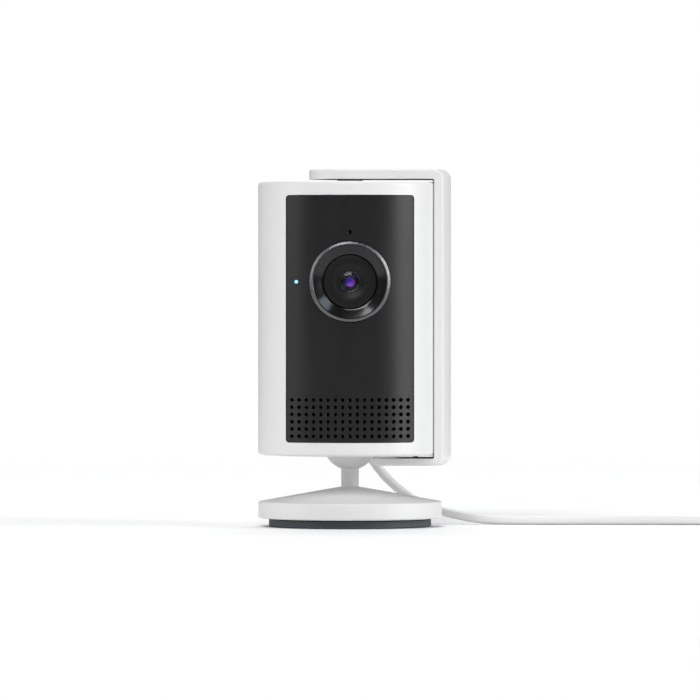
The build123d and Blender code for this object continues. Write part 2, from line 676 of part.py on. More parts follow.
def make_rear_cover(rear):
    """The rear half: screw bosses, the opening for the plug and the reset button's hole."""
    root = upright(INNER_R + RIB_ROOT, CHASSIS_Z)
    surface = sqrt(BODY_R ** 2 - HOUSING_SCREW_X ** 2)
    seat = surface - HOUSING_SCREW_SINK
    screws = []
    for x in (-HOUSING_SCREW_X, HOUSING_SCREW_X):
        for z in HOUSING_SCREW_Z:
            rear += level(HOUSING_BOSS_R, (POST_END, surface), x, z) & root
            rear -= level(PILOT_R, (POST_END - CUT, BEYOND), x, z)
            rear -= level(SCREW_HEAD_R + FIT_GAP, (seat, BEYOND), x, z)
            screw = level(SCREW_HEAD_R, (seat, seat + SCREW_HEAD), x, z)
            screw += level(SCREW_R, (CHASSIS_BACK, seat + DRIVE_DEPTH), x, z)
            screw -= level(DRIVE_R, (seat + DRIVE_DEPTH, seat + SCREW_HEAD + CUT), x, z)
            screws.append(screw)
    half_width, half_height = PORT_OPENING
    behind_boards = POWER_BOARD_Y[1]
    rear -= block(about(0, half_width), (behind_boards, BEYOND), about(PORT_Z, half_height))
    rear -= level(RESET_R + RUNNING, (behind_boards, BEYOND), RESET_X, RESET_Z)
    save("rear_cover", rear)
    save("housing_screws", Compound(children=screws))


def make_face_plate():
    """The black face: its skin, the flange behind the frame, and every hole through it."""
    low, high = FACE_Z
    over = (BODY_BOTTOM, BODY_TOP)
    plate = front_wall(FACE_R, FACE_BACK_R, over) & face_opening(-FIT_GAP)
    outer_z = (INSIDE_BOTTOM + FIT_GAP, INSIDE_TOP - FLANGE_TOP_GAP)
    outer = block(about(0, FACE_HALF_WIDTH + FLANGE_REACH), (-BODY_R, 0), outer_z)
    inner_z = (low + FLANGE_LAP, high - FLANGE_LAP)
    inner = block(about(0, FACE_HALF_WIDTH - FLANGE_LAP), (-BODY_R - CUT, 0), inner_z)
    plate += (front_wall(FLANGE_R, FLANGE_R - FLANGE_THICK, over) & outer) - inner
    plate += level(COLLAR_R, (-BODY_R, LENS_SEAT_Y), 0, LENS_Z) & upright(FACE_BACK_R + FACE_LAP, FACE_Z)

    front_y = -BODY_R - CUT
    plate -= level(TRIM_R + FIT_GAP, (front_y, 0), 0, LENS_Z)
    plate -= level(MIC_HOLE_R, (front_y, 0), 0, MIC_Z)
    plate -= level(LED_R + LED_FIT, (front_y, 0), LED_X, LENS_Z)
    holes = []
    for column in range(SPEAKER_COLUMNS):
        x = (column - (SPEAKER_COLUMNS - 1) / 2) * SPEAKER_PITCH
        for row in range(SPEAKER_ROWS):
            z = SPEAKER_Z + (row - (SPEAKER_ROWS - 1) / 2) * SPEAKER_PITCH
            holes.append(level(SPEAKER_HOLE_R, (front_y, 0), x, z))
    plate -= holes
    save("faceplate", plate)


# ---- lens ----------------------------------------------------------------------------------
def make_lens():
    """The bright ring, the bezel inside it, and the barrel that carries the lenses."""
    save("lens_trim_ring", turned_on_lens([
        (TRIM_CREST_R, LENS_SEAT_Y),
        (TRIM_R, LENS_SEAT_Y),
        (TRIM_R, TRIM_EDGE_Y),
        (TRIM_CREST_R + TRIM_FLAT, TRIM_CREST_Y),
        (TRIM_CREST_R, TRIM_CREST_Y),
    ]))
    bezel_r = TRIM_CREST_R - FRONT_LENS_FIT
    save("lens_bezel", turned_on_lens([
        (BEZEL_INNER_R, LENS_SEAT_Y),
        (bezel_r, LENS_SEAT_Y),
        (bezel_r, TRIM_CREST_Y + BEZEL_STEP),
        (BEZEL_INNER_R, BEZEL_INNER_Y),
    ]))
    shoulder = LENS_SEAT_Y + BARREL_SHOULDER
    bore_r = BARREL_THREAD_R - BARREL_WALL
    bore_end = LENS_SEAT_Y + BARREL_SEAT
    save("lens_barrel", turned_on_lens([
        (FRONT_LENS_R, FRONT_LENS_Y),
        (BARREL_MOUTH_R, BARREL_Y),
        (BARREL_R, BARREL_Y, BARREL_EDGE),
        (BARREL_R, shoulder),
        (BARREL_THREAD_R, shoulder),
        (BARREL_THREAD_R, THREAD_END_Y),
        (bore_r, THREAD_END_Y),
        (bore_r, bore_end),
        (FRONT_LENS_R, bore_end),
    ]))
    lens_r = FRONT_LENS_R - FRONT_LENS_FIT
    bulge = lens_r * FRONT_LENS_BULGE
    centre_y = FRONT_LENS_Y + RUNNING + sqrt(bulge ** 2 - lens_r ** 2)
    rod = level(lens_r, (FRONT_LENS_Y - lens_r, FRONT_LENS_Y + FRONT_LENS_THICK), 0, LENS_Z)
    save("front_lens", rod & (Pos(0, centre_y, LENS_Z) * Sphere(bulge)))
    rear_y = (bore_end + RUNNING, bore_end + RUNNING + REAR_LENS_THICK)
    save("rear_lens", level(bore_r - RUNNING, rear_y, 0, LENS_Z))
    make_sensor()


def make_sensor():
    """The holder that the barrel screws into, with the filter and the image sensor under it."""
    board = SENSOR_BOARD_Y[0]
    holder = block(about(0, HOLDER_HALF), (board - HOLDER_FOOT, board), about(LENS_Z, HOLDER_HALF))
    holder += level(HOLDER_R, (LENS_SEAT_Y + BARREL_SHOULDER + FIT_GAP, board), 0, LENS_Z)
    holder -= level(BARREL_THREAD_R + RUNNING, (LENS_SEAT_Y - CUT, THREAD_END_Y + FIT_GAP), 0, LENS_Z)
    holder -= block(about(0, HOLDER_ROOM), (THREAD_END_Y, board + CUT), about(LENS_Z, HOLDER_ROOM))
    save("lens_holder", holder)
    filter_y = (THREAD_END_Y + FILTER_THICK, THREAD_END_Y + 2 * FILTER_THICK)
    save("ir_filter", block(about(0, FILTER_HALF), filter_y, about(LENS_Z, FILTER_HALF)))
    sensor_y = (board - SENSOR_THICK, board)
    save("image_sensor", block(about(0, SENSOR_HALF), sensor_y, about(LENS_Z, SENSOR_HALF)))


# ---- electronics ---------------------------------------------------------------------------
def make_boards():
    """The chassis, with the main board in front of it and the sensor board on two posts."""
    half = SENSOR_BOARD_HALF
    led_half, led_depth, led_half_height = LED_PACKAGE
    tab_x = (LED_X - led_half - LED_TAB_MARGIN, -half + CUT)
    tab_z = about(LENS_Z, led_half_height + LED_TAB_MARGIN)
    sensor_board = block(about(0, half), SENSOR_BOARD_Y, about(LENS_Z, half))
    save("sensor_board", sensor_board + block(tab_x, SENSOR_BOARD_Y, tab_z))
    led_y = (SENSOR_BOARD_Y[0] - led_depth, SENSOR_BOARD_Y[0])
    save("status_led", block(about(LED_X, led_half), led_y, about(LENS_Z, led_half_height)))
    pipe = level(LED_R, (-BODY_R, led_y[0]), LED_X, LENS_Z)
    save("light_pipe", pipe & upright(FACE_R, FACE_Z))

    chassis = block(about(0, CHASSIS_HALF_WIDTH), (CHASSIS_Y, CHASSIS_BACK), CHASSIS_Z)
    main = block(about(0, MAIN_BOARD_HALF_WIDTH), MAIN_BOARD_Y, MAIN_BOARD_Z)
    for x in (-SENSOR_POST_X, SENSOR_POST_X):
        chassis += level(SENSOR_POST_R, (SENSOR_BOARD_Y[1], CHASSIS_Y), x, LENS_Z)
        main -= level(SENSOR_POST_R + SENSOR_POST_GAP, (MAIN_BOARD_Y[0] - CUT, CHASSIS_Y), x, LENS_Z)
    board_screws = []
    screw_x = MAIN_BOARD_HALF_WIDTH - BOARD_SCREW_X
    head_y = (MAIN_BOARD_Y[0] - SCREW_HEAD, MAIN_BOARD_Y[0])
    for x in (-screw_x, screw_x):
        for z in (MAIN_BOARD_Z[0] + BOARD_SCREW_Z, MAIN_BOARD_Z[1] - BOARD_SCREW_Z):
            chassis += level(BOARD_BOSS_R, (MAIN_BOARD_Y[1], CHASSIS_Y), x, z)
            chassis -= level(PILOT_R, (MAIN_BOARD_Y[1] - CUT, CHASSIS_Y + CUT), x, z)
            main -= level(PILOT_R, (MAIN_BOARD_Y[0] - CUT, MAIN_BOARD_Y[1] + CUT), x, z)
            head = level(SCREW_HEAD_R, head_y, x, z)
            board_screws.append(head + level(SCREW_R, (head_y[0], CHASSIS_Y + CUT - FIT_GAP), x, z))
    for x in (-HOUSING_SCREW_X, HOUSING_SCREW_X):
        for z in HOUSING_SCREW_Z:
            chassis += level(POST_R, (CHASSIS_BACK, POST_END), x, z)
            chassis -= level(PILOT_R, (CHASSIS_BACK - SEAM, POST_END + CUT), x, z)
    save("chassis", chassis)
    save("main_board", main)
    save("board_screws", Compound(children=board_screws))


def make_electronics():
    """What stands on the boards: processor, shield, antenna and the flat cable between boards."""
    chip_z = LENS_Z - CHIP_BELOW
    board = MAIN_BOARD_Y[1]
    save("processor", block(about(0, CHIP_HALF), (board, board + CHIP_THICK), about(chip_z, CHIP_HALF)))
    can = block(about(0, CAN_HALF), (board, board + CAN_HEIGHT), about(chip_z, CAN_HALF))
    inside = CAN_HALF - CAN_METAL
    can -= block(about(0, inside), (board - CUT, board + CAN_HEIGHT - CAN_METAL), about(chip_z, inside))
    save("shield_can", can)
    flex_z = about(LENS_Z - FLEX_BELOW, FLEX_THICK / 2)
    save("sensor_flex", block(about(0, FLEX_HALF), (SENSOR_BOARD_Y[1], MAIN_BOARD_Y[0]), flex_z))
    antenna_r = INNER_R - ANTENNA_GAP
    antenna_z = (BODY_TOP - ANTENNA_DROP[0], BODY_TOP - ANTENNA_DROP[1])
    antenna = ring(antenna_r, antenna_r - ANTENNA_THICK, antenna_z)
    save("wifi_antenna", antenna & block(about(0, ANTENNA_HALF_WIDTH), (SPLIT_Y, BEYOND), antenna_z))


def make_front_electronics():
    """What listens, speaks and lights behind the face."""
    speaker_z = about(SPEAKER_Z, SPEAKER_HEIGHT / 2)
    board_half = FACE_HALF_WIDTH - IR_BOARD_INSET
    outer_x = board_half - IR_LED_INSET
    half_x, half_z = IR_LED_HALF
    led_front = IR_CLEARANCE - sqrt(FACE_BACK_R ** 2 - (outer_x + half_x) ** 2)
    board_front = led_front + IR_LED_DEPTH
    ir_z = (speaker_z[1] + LENS_Z - TRIM_R) / 2
    save("ir_leds", Compound(children=[
        block(about(x, half_x), (led_front, board_front), about(ir_z, half_z))
        for x in (-outer_x, -IR_LED_INNER_X, IR_LED_INNER_X, outer_x)]))
    board_y = (board_front, board_front + SMALL_BOARD)
    save("ir_led_board", block(about(0, board_half), board_y, about(ir_z, IR_BOARD_HALF_HEIGHT)))

    mic_front = MIC_SEAL - FACE_BACK_R
    mic_back = mic_front + MIC_THICK
    mic = block(about(0, MIC_HALF), (mic_front, mic_back), (MIC_Z - MIC_LOW, MIC_Z + MIC_HIGH))
    mic_board_y = (mic_back, mic_back + SMALL_BOARD)
    mic += block(about(0, MIC_BOARD_HALF), mic_board_y, (MIC_Z - MIC_LOW, MIC_Z + MIC_BOARD_HIGH))
    save("microphone", mic)
    seal = level(MIC_SEAL_R, (FIT_GAP - FACE_BACK_R, mic_front), 0, MIC_Z)
    save("mic_seal", seal - level(MIC_HOLE_R, (-BODY_R, mic_front + CUT), 0, MIC_Z))

    speaker_front = SPEAKER_CLEARANCE - sqrt(MESH_IN ** 2 - SPEAKER_HALF_WIDTH ** 2)
    speaker_y = (speaker_front, -RETAINER_R - SPEAKER_BACK_GAP)
    driver = block(about(0, SPEAKER_HALF_WIDTH), speaker_y, speaker_z)
    save("speaker_driver", fillet(driver.edges().filter_by(Axis.Y), SPEAKER_CORNER))
    mesh_z = about(SPEAKER_Z, MESH_HEIGHT / 2)
    mesh = front_wall(FACE_BACK_R - RUNNING, MESH_IN, mesh_z)
    mesh_x = about(0, FACE_HALF_WIDTH - MESH_INSET)
    save("speaker_mesh", mesh & block(mesh_x, (-BODY_R, 0), mesh_z))


def make_power_inlet():
    """The rear board with the power port and the reset switch, and the button over the switch."""
    board_back = POWER_BOARD_Y[1]
    board_low = RETAINER_FLANGE_TOP + SCREW_HEAD + POWER_BOARD_LIFT
    board_z = (board_low, PORT_Z + POWER_BOARD_ABOVE)
    save("power_board", block(about(0, POWER_BOARD_HALF), POWER_BOARD_Y, board_z))
    half_width, half_height = PORT_HALF
    mouth = BODY_R - PORT_SINK
    port = block(about(0, half_width), (board_back, mouth), about(PORT_Z, half_height))
    room_x = about(0, half_width - PORT_METAL[0])
    room_z = about(PORT_Z, half_height - PORT_METAL[1])
    port -= block(room_x, (board_back + PORT_BACK, mouth + CUT), room_z)
    save("usb_port", port)

    switch_top = board_back + SWITCH_HEIGHT
    switch = block(about(RESET_X, SWITCH_HALF), (board_back, switch_top), about(RESET_Z, SWITCH_HALF))
    key_top = switch_top + SWITCH_KEY
    save("reset_switch", switch + level(SWITCH_KEY_R, (board_back, key_top), RESET_X, RESET_Z))
    button_end = key_top + RESET_TRAVEL + FIT_GAP
    button = level(RESET_R, (button_end, BEYOND), RESET_X, RESET_Z) & upright(BODY_R - RESET_SINK, TALL)
    rim_y = (button_end, button_end + RESET_RIM_THICK)
    save("reset_button", button + level(RESET_R + RESET_RIM, rim_y, RESET_X, RESET_Z))


# ---- privacy cover -------------------------------------------------------------------------
def make_cover():
    """The cover that swings round the head, with its magnet, washer and pivot screw."""
    body = turned([
        (0, COVER_ARM_Z),
        (COVER_IN, COVER_ARM_Z, COVER_INNER_ROUND),
        (COVER_IN, COVER_LOW_Z, COVER_INNER_ROUND),
        (COVER_NOTCH_R, COVER_LOW_Z),
        (COVER_NOTCH_R, COVER_BOTTOM_Z),
        (COVER_OUT, COVER_BOTTOM_Z, COVER_OUTER_ROUND),
        (COVER_OUT, COVER_TOP_Z, COVER_OUTER_ROUND),
        (0, COVER_TOP_Z),
    ])
    plan = Circle(COVER_HALF_WIDTH) + Pos(COVER_OUT, 0) * Rectangle(2 * COVER_OUT, 2 * COVER_HALF_WIDTH)
    strip = body & extrude(plan, TALL[1])
    strip = fillet([edge for edge in strip.edges() if on_outer_rim(edge)], COVER_EDGE_ROUND)
    boss_z = (INSIDE_TOP - PIVOT_PROUD, COVER_ARM_Z + PIVOT_ROOT)
    strip += upright(PIVOT_R, boss_z)
    screw_top = COVER_ARM_Z + PIVOT_SCREW_BITE
    strip -= upright(PILOT_R, (boss_z[0] - CUT, screw_top + PIVOT_PROUD))
    tab_z = (COVER_LOW_Z - GUIDE_ROOT, BODY_BOTTOM + GUIDE_DEPTH - GUIDE_CLEARANCE)
    tab = ring(GUIDE_R + GUIDE_WIDTH / 2, GUIDE_R - GUIDE_WIDTH / 2, tab_z)
    strip += tab & block((0, COVER_OUT), about(0, GUIDE_HALF_LENGTH), tab_z)

    facing_out = Pos(COVER_IN, 0, BODY_BOTTOM + MAGNET_HEIGHT) * Rot(0, 90, 0)
    strip -= facing_out * upright(MAGNET_R + RUNNING, (-CUT, MAGNET_THICK + FIT_GAP))
    save("privacy_cover", strip)
    save("cover_magnet", facing_out * upright(MAGNET_R, (0, MAGNET_THICK)))

    washer_z = (boss_z[0] - PIVOT_WASHER, boss_z[0])
    save("pivot_washer", ring(PIVOT_WASHER_R, PILOT_R, washer_z))
    head_z = (washer_z[0] - PIVOT_HEAD, washer_z[0])
    save("pivot_screw", upright(PIVOT_HEAD_R, head_z) + upright(SCREW_R, (head_z[0], screw_top)))


def on_outer_rim(edge):
    """Whether an edge runs along the cover's outside, between its skin and its sides."""
    middle = edge @ 0.5
    radius = sqrt(middle.X ** 2 + middle.Y ** 2)
    on_straight_side = abs(abs(middle.Y) - COVER_HALF_WIDTH) < SAME
    on_round_end = middle.X < 0 and abs(radius - COVER_HALF_WIDTH) < SAME
    above = middle.Z > COVER_TOP_Z - COVER_TOP / 2
    below = middle.Z < COVER_BOTTOM_Z + COVER_BOTTOM / 2
    outside = above or below or radius > COVER_OUT - COVER_WALL / 2
    spread = edge.bounding_box().size
    upright_corner = spread.X < SAME and spread.Y < SAME and spread.Z < COVER_TOP + COVER_BOTTOM
    return (on_straight_side or on_round_end) and outside and not upright_corner


# ---- cable ---------------------------------------------------------------------------------
def corner_radii(route):
    """The largest arcs that a route's runs allow, one for each inner point."""
    points = [Vector(*point) for point in route]
    radii = []
    for before, point, after in zip(points, points[1:], points[2:]):
        turn = (point - before).get_angle(after - point)
        shorter = min((point - before).length, (after - point).length)
        radii.append(ARC_SHARE * shorter / tan(radians(turn / 2)))
    return radii


def cable_tube(name, route):
    """A tube along straight runs and the arcs between them."""
    radii = corner_radii(route)
    path = FilletPolyline(*route, radius=radii)
    start = Plane(origin=route[0], z_dir=path % 0)
    tube = sweep(start * Circle(CABLE_R), path=path)
    expected = pi * CABLE_R ** 2 * path.length
    print(f"{name}: length {path.length:.1f}, volume {tube.volume:.1f} of {expected:.1f}, radii",
          [round(radius, 1) for radius in radii])
    save(name, tube)
    return path.length


def make_plug():
    """The small plug in the back of the head, its metal shell and the boot on its cable."""
    width, depth, height = PLUG_SIZE
    plug_z = about(PORT_Z, height / 2)
    plug = block(about(0, width / 2), (PLUG_FACE_Y, PLUG_FACE_Y + depth), plug_z)
    plug = fillet(plug.edges(), PLUG_ROUND)
    half_width, half_height = PLUG_SHELL_HALF
    shell_y = (POWER_BOARD_Y[1] + PLUG_SHELL_REACH, PLUG_FACE_Y)
    plug_shell = block(about(0, half_width), shell_y, about(PORT_Z, half_height))
    plug_shell = fillet(plug_shell.edges().filter_by(Axis.Y), PLUG_SHELL_ROUND)
    end, after = (Vector(*point) for point in DROP_ROUTE[:2])
    along = (after - end).normalized()
    boot = Plane(origin=end - along * BOOT_LENGTH, z_dir=along) * Cone(
        BOOT_R, CABLE_R + BOOT_LIP, BOOT_LENGTH, align=(Align.CENTER, Align.CENTER, Align.MIN))
    save("micro_usb_plug", plug)
    save("micro_usb_shell", plug_shell)
    save("plug_boot", boot - plug)


def tail_route(high):
    """The cable's last stretch: it climbs out of the coil's top turn and curls in over the coil."""
    radius = COIL_MEAN_R + (COIL_TURNS_WIDE - 1) * CABLE_R
    heading = TAIL_START_ANGLE + 90 + TAIL_TURN / 2
    x = COIL_CENTRE[0] + radius * cos(radians(TAIL_START_ANGLE))
    y = COIL_CENTRE[1] + radius * sin(radians(TAIL_START_ANGLE))
    climb = TAIL_CLIMB + [CABLE_R] * (len(TAIL_RUNS) + 1 - len(TAIL_CLIMB))
    route = [(x, y, high + climb[0])]
    for run, rise in zip(TAIL_RUNS, climb[1:]):
        x += run * cos(radians(heading))
        y += run * sin(radians(heading))
        route.append((x, y, high + rise))
        heading += TAIL_TURN
    return route, heading - TAIL_TURN


def make_coil():
    """The wound cable, the tie round it, and the tail that ends in the power plug."""
    wide = COIL_TURNS_WIDE * CABLE_D
    high = COIL_TURNS_HIGH * CABLE_D
    low_r, high_r = about(COIL_MEAN_R, wide / 2)
    coil = turned([
        (low_r, 0, COIL_ROUND),
        (high_r, 0, COIL_ROUND),
        (high_r, high, COIL_ROUND),
        (low_r, high, COIL_ROUND),
    ])
    save("cable_coil", Pos(*COIL_CENTRE, 0) * coil)
    inside, outside, above = TIE_GAP
    room_x = (low_r - inside, high_r + outside)
    tie = block((room_x[0] - TIE_WALL, high_r + TIE_WALL), about(0, TIE_HALF_WIDTH), (0, high + TIE_WALL))
    tie -= block(room_x, about(0, TIE_HALF_WIDTH + CUT), (-CUT, high + above))
    save("coil_tie", Pos(*COIL_CENTRE, 0) * Rot(0, 0, TIE_ANGLE) * tie)

    route, heading = tail_route(high)
    length = cable_tube("cable_tail", route)
    make_usb_a_plug(route[-1], heading, high)
    return length


def make_usb_a_plug(end, heading, high):
    """The large plug at the cable's end, lying on the coil."""
    place = Pos(end[0], end[1], 0) * Rot(0, 0, heading)
    relief = Pos(0, 0, end[2]) * Rot(0, 90, 0) * Cone(
        *RELIEF_R, RELIEF, align=(Align.CENTER, Align.CENTER, Align.MIN))
    long, across, tall = USB_A_SIZE
    body = block((RELIEF, RELIEF + long), about(0, across / 2), (high, high + tall))
    save("usb_a_plug", place * (fillet(body.edges(), USB_A_ROUND) + relief))

    shell_long, shell_across, shell_tall = USB_A_SHELL
    root = RELIEF + long
    mouth = root + shell_long
    middle = high + tall / 2
    inside_y = about(0, shell_across / 2 - USB_A_METAL)
    inside_z = about(middle, shell_tall / 2 - USB_A_METAL)
    metal = block((root, mouth), about(0, shell_across / 2), about(middle, shell_tall / 2))
    metal -= block((root + USB_A_ROOT, mouth + CUT), inside_y, inside_z)
    tongue_x = (root + USB_A_TONGUE[0], mouth - USB_A_TONGUE[1])
    metal += block(tongue_x, inside_y, (middle, inside_z[1]))
    save("usb_a_shell", place * metal)


make_base()
make_bracket()
make_ball_joint()
make_housing()
make_face_plate()
make_lens()
make_boards()
make_electronics()
make_front_electronics()
make_power_inlet()
make_cover()
make_plug()
drop = cable_tube("cable_drop", DROP_ROUTE)
lying = cable_tube("cable_floor", FLOOR_ROUTE)
tail = make_coil()
coil_turns = COIL_TURNS_WIDE * COIL_TURNS_HIGH
coiled = coil_turns * 2 * pi * COIL_MEAN_R
print(f"cable total {drop + lying + tail + coiled:.0f} in {coil_turns} turns")
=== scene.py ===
"""Looks, studio and cord of a small indoor security camera on a round stand.

Every size is in metres in the part's own frame: the origin is the centre of the foot's underside,
Z is up and the lens looks along -Y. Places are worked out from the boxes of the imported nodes.
"""
from __future__ import annotations

import json
import logging
import math
from contextlib import contextmanager
from dataclasses import dataclass, field
from enum import Enum
from typing import Any, Callable, Iterator, Sequence

import bmesh
import bpy
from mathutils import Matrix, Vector

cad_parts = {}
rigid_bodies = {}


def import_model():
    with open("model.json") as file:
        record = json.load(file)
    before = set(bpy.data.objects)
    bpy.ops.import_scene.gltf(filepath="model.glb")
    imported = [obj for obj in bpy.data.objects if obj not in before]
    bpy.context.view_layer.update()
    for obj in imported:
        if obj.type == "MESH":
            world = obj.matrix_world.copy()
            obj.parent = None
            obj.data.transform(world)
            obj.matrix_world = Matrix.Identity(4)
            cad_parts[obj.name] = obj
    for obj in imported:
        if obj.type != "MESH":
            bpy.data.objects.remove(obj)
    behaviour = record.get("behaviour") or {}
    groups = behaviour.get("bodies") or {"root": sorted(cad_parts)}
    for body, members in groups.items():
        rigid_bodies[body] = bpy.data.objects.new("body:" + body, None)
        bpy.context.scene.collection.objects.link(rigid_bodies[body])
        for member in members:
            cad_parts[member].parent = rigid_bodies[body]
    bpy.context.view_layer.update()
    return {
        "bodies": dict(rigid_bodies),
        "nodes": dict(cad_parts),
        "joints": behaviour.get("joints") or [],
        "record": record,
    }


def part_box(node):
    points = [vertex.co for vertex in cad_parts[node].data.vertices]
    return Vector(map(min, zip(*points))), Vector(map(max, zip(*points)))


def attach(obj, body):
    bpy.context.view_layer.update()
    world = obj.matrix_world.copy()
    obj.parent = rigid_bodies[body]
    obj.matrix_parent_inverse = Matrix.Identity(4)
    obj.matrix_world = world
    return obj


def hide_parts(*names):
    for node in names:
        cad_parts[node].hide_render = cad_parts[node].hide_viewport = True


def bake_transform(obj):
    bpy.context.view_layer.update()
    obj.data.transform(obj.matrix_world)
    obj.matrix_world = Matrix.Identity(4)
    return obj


LOG = logging.getLogger("security_camera")
MM = 0.001
Point = tuple[float, float, float]
Colour = tuple[float, float, float]


# ---- node trees ----------------------------------------------------------------------------
class Signal:
    """A number that runs through a node tree, with arithmetic."""

    def __init__(self, graph: Graph, socket: bpy.types.NodeSocket) -> None:
        """Wrap one output socket of a graph."""
        self.graph = graph
        self.socket = socket

    def _math(self, operation: str, *values: Any) -> Signal:
        """Add a Math node.

        Args:
            operation: The node's operation.
            values: Its inputs, in order.
        Returns:
            The node's output.
        """
        inputs = dict(enumerate(values))
        return Signal(self.graph, self.graph.node("Math", {"operation": operation}, inputs).outputs[0])

    def __add__(self, other: Any) -> Signal:
        """Return self + other."""
        return self._math("ADD", self, other)

    __radd__ = __add__

    def __sub__(self, other: Any) -> Signal:
        """Return self - other."""
        return self._math("SUBTRACT", self, other)

    def __rsub__(self, other: Any) -> Signal:
        """Return other - self."""
        return self._math("SUBTRACT", other, self)

    def __mul__(self, other: Any) -> Signal:
        """Return self * other."""
        return self._math("MULTIPLY", self, other)

    __rmul__ = __mul__

    def __truediv__(self, other: Any) -> Signal:
        """Return self / other."""
        return self._math("DIVIDE", self, other)

    def __pow__(self, other: Any) -> Signal:
        """Return self to a power."""
        return self._math("POWER", self, other)

    def sine(self) -> Signal:
        """Return its sine."""
        return self._math("SINE", self)

    def size(self) -> Signal:
        """Return its absolute value."""
        return self._math("ABSOLUTE", self)

    def above(self, edge: float, blur: float) -> Signal:
        """Return a mask that rises from 0 to 1 as the number passes an edge.

        Args:
            edge: Where the mask is a half.
            blur: The width over which it rises.
        Returns:
            The mask.
        """
        ends = {"From Min": edge - blur / 2, "From Max": edge + blur / 2}
        made = self.graph.node("MapRange", {"interpolation_type": "SMOOTHSTEP"}, {"Value": self, **ends})
        return Signal(self.graph, made.outputs[0])


class Graph:
    """The node tree of a material, or of the world."""

    def __init__(self, name: str, tree: bpy.types.NodeTree | None = None) -> None:
        """Start an empty material, or clear the tree that is given."""
        self.material = None
        if tree is None:
            self.material = bpy.data.materials.new(name)
            self.material.use_nodes = True
            tree = self.material.node_tree
        self.tree = tree
        self.tree.nodes.clear()
        self.place = self.node("TexCoord").outputs["Object"]

    def node(self, kind: str, settings: dict[str, Any] | None = None,
             inputs: dict[Any, Any] | None = None) -> bpy.types.Node:
        """Make one node.

        Args:
            kind: The type's name without its prefix.
            settings: Attributes, set before anything is linked. A ramp's stops are (place, colour).
            inputs: Values or links of its sockets, by name or number.
        Returns:
            The node.
        """
        prefix = "ShaderNode"
        made = self.tree.nodes.new(prefix + ("Tex" if kind in ("Noise", "Voronoi", "Wave") else "") + kind)
        for name, value in (settings or {}).items():
            if name == "stops":
                ramp = made.color_ramp.elements
                while len(ramp) < len(value):
                    ramp.new(1.0)
                for stop, (at, colour) in zip(ramp, value):
                    stop.position = at
                    stop.color = (*colour, 1.0)
            else:
                setattr(made, name, value)
        for name, value in (inputs or {}).items():
            socket = made.inputs[name]
            if isinstance(value, Signal):
                self.tree.links.new(value.socket, socket)
            elif isinstance(value, bpy.types.NodeSocket):
                self.tree.links.new(value, socket)
            else:
                socket.default_value = value
        return made

    def noise(self, scale: float, detail: float = 2.0, stretch: Point = (1.0, 1.0, 1.0)) -> Signal:
        """Return noise that has this many features to the metre."""
        return Signal(self, self.node("Noise", None, {
            "Vector": self.scaled(stretch), "Scale": scale, "Detail": detail}).outputs["Fac"])

    def cells(self, scale: float, feature: str = "F1") -> Signal:
        """Return the distance field of random cells."""
        return Signal(self, self.node("Voronoi", {"feature": feature}, {
            "Vector": self.place, "Scale": scale}).outputs["Distance"])

    def scaled(self, stretch: Point) -> bpy.types.NodeSocket:
        """Return the place, scaled along each axis."""
        return self.node("Mapping", None, {"Vector": self.place, "Scale": stretch}).outputs[0]

    def axes(self) -> tuple[Signal, Signal, Signal]:
        """Return the place as three numbers."""
        split = self.node("SeparateXYZ", None, {0: self.place})
        return tuple(Signal(self, output) for output in split.outputs)

    def radius(self, centre: Point, axis: int) -> Signal:
        """Return the distance from a line along one axis through a centre."""
        parts = [(part - middle) ** 2.0 for part, middle in zip(self.axes(), centre)]
        parts.pop(axis)
        return (parts[0] + parts[1]) ** 0.5

    def mix(self, factor: Signal, low: Any, high: Any) -> bpy.types.NodeSocket:
        """Return a colour between two colours."""
        made = self.node("Mix", {"data_type": "RGBA"}, {0: factor})
        for number, value in ((6, low), (7, high)):
            if isinstance(value, bpy.types.NodeSocket):
                self.tree.links.new(value, made.inputs[number])
            else:
                made.inputs[number].default_value = (*value, 1.0)
        return made.outputs[2]

    def bump(self, height: Signal, depth: float) -> bpy.types.NodeSocket:
        """Return a normal from a height of 0 to 1 times a depth in metres."""
        return self.node("Bump", None, {"Height": height, "Distance": depth, "Strength": 1.0}).outputs[0]

    def close(self, inputs: dict[str, Any]) -> bpy.types.Material:
        """Finish with one principled shader and return the material."""
        surface = self.node("BsdfPrincipled", None, inputs)
        self.node("OutputMaterial", None, {"Surface": surface.outputs[0]})
        return self.material


# ---- finishes ------------------------------------------------------------------------------
def shade(colour: Colour, factor: float) -> Colour:
    """Return a colour made lighter or darker."""
    return tuple(min(1.0, part * factor) for part in colour)


@dataclass(frozen=True)
class Moulded:
    """Moulded plastic or rubber: a fine spark-eroded grain, slight flow marks and soft handling marks."""

    colour: Colour
    roughness: float = 0.4
    grain: float = 3500.0
    depth: float = 0.00001
    drift: float = 0.03
    specular: float = 0.5
    coat: float = 0.0
    subsurface: float = 0.0

    def build(self, name: str) -> bpy.types.Material:
        """Return the material."""
        graph = Graph(name)
        flow = graph.noise(45.0, 3.0)
        fine = graph.noise(self.grain, 3.0)
        marks = graph.noise(260.0, 4.0, (1.0, 1.0, 0.35)).above(0.62, 0.2)
        colour = graph.mix(flow * 0.7 + fine * 0.3, shade(self.colour, 1 - self.drift),
                           shade(self.colour, 1 + self.drift))
        return graph.close({
            "Base Color": colour,
            "Roughness": self.roughness + (flow - 0.5) * 0.08 - marks * 0.05 + (fine - 0.5) * 0.06,
            "Normal": graph.bump(fine * 0.75 + graph.cells(self.grain * 0.6) * 0.25, self.depth),
            "Specular IOR Level": self.specular,
            "Coat Weight": self.coat,
            "Coat Roughness": 0.08,
            "Subsurface Weight": self.subsurface,
            "Subsurface Radius": (0.001, 0.001, 0.001),
            "Subsurface Scale": 1.0,
        })


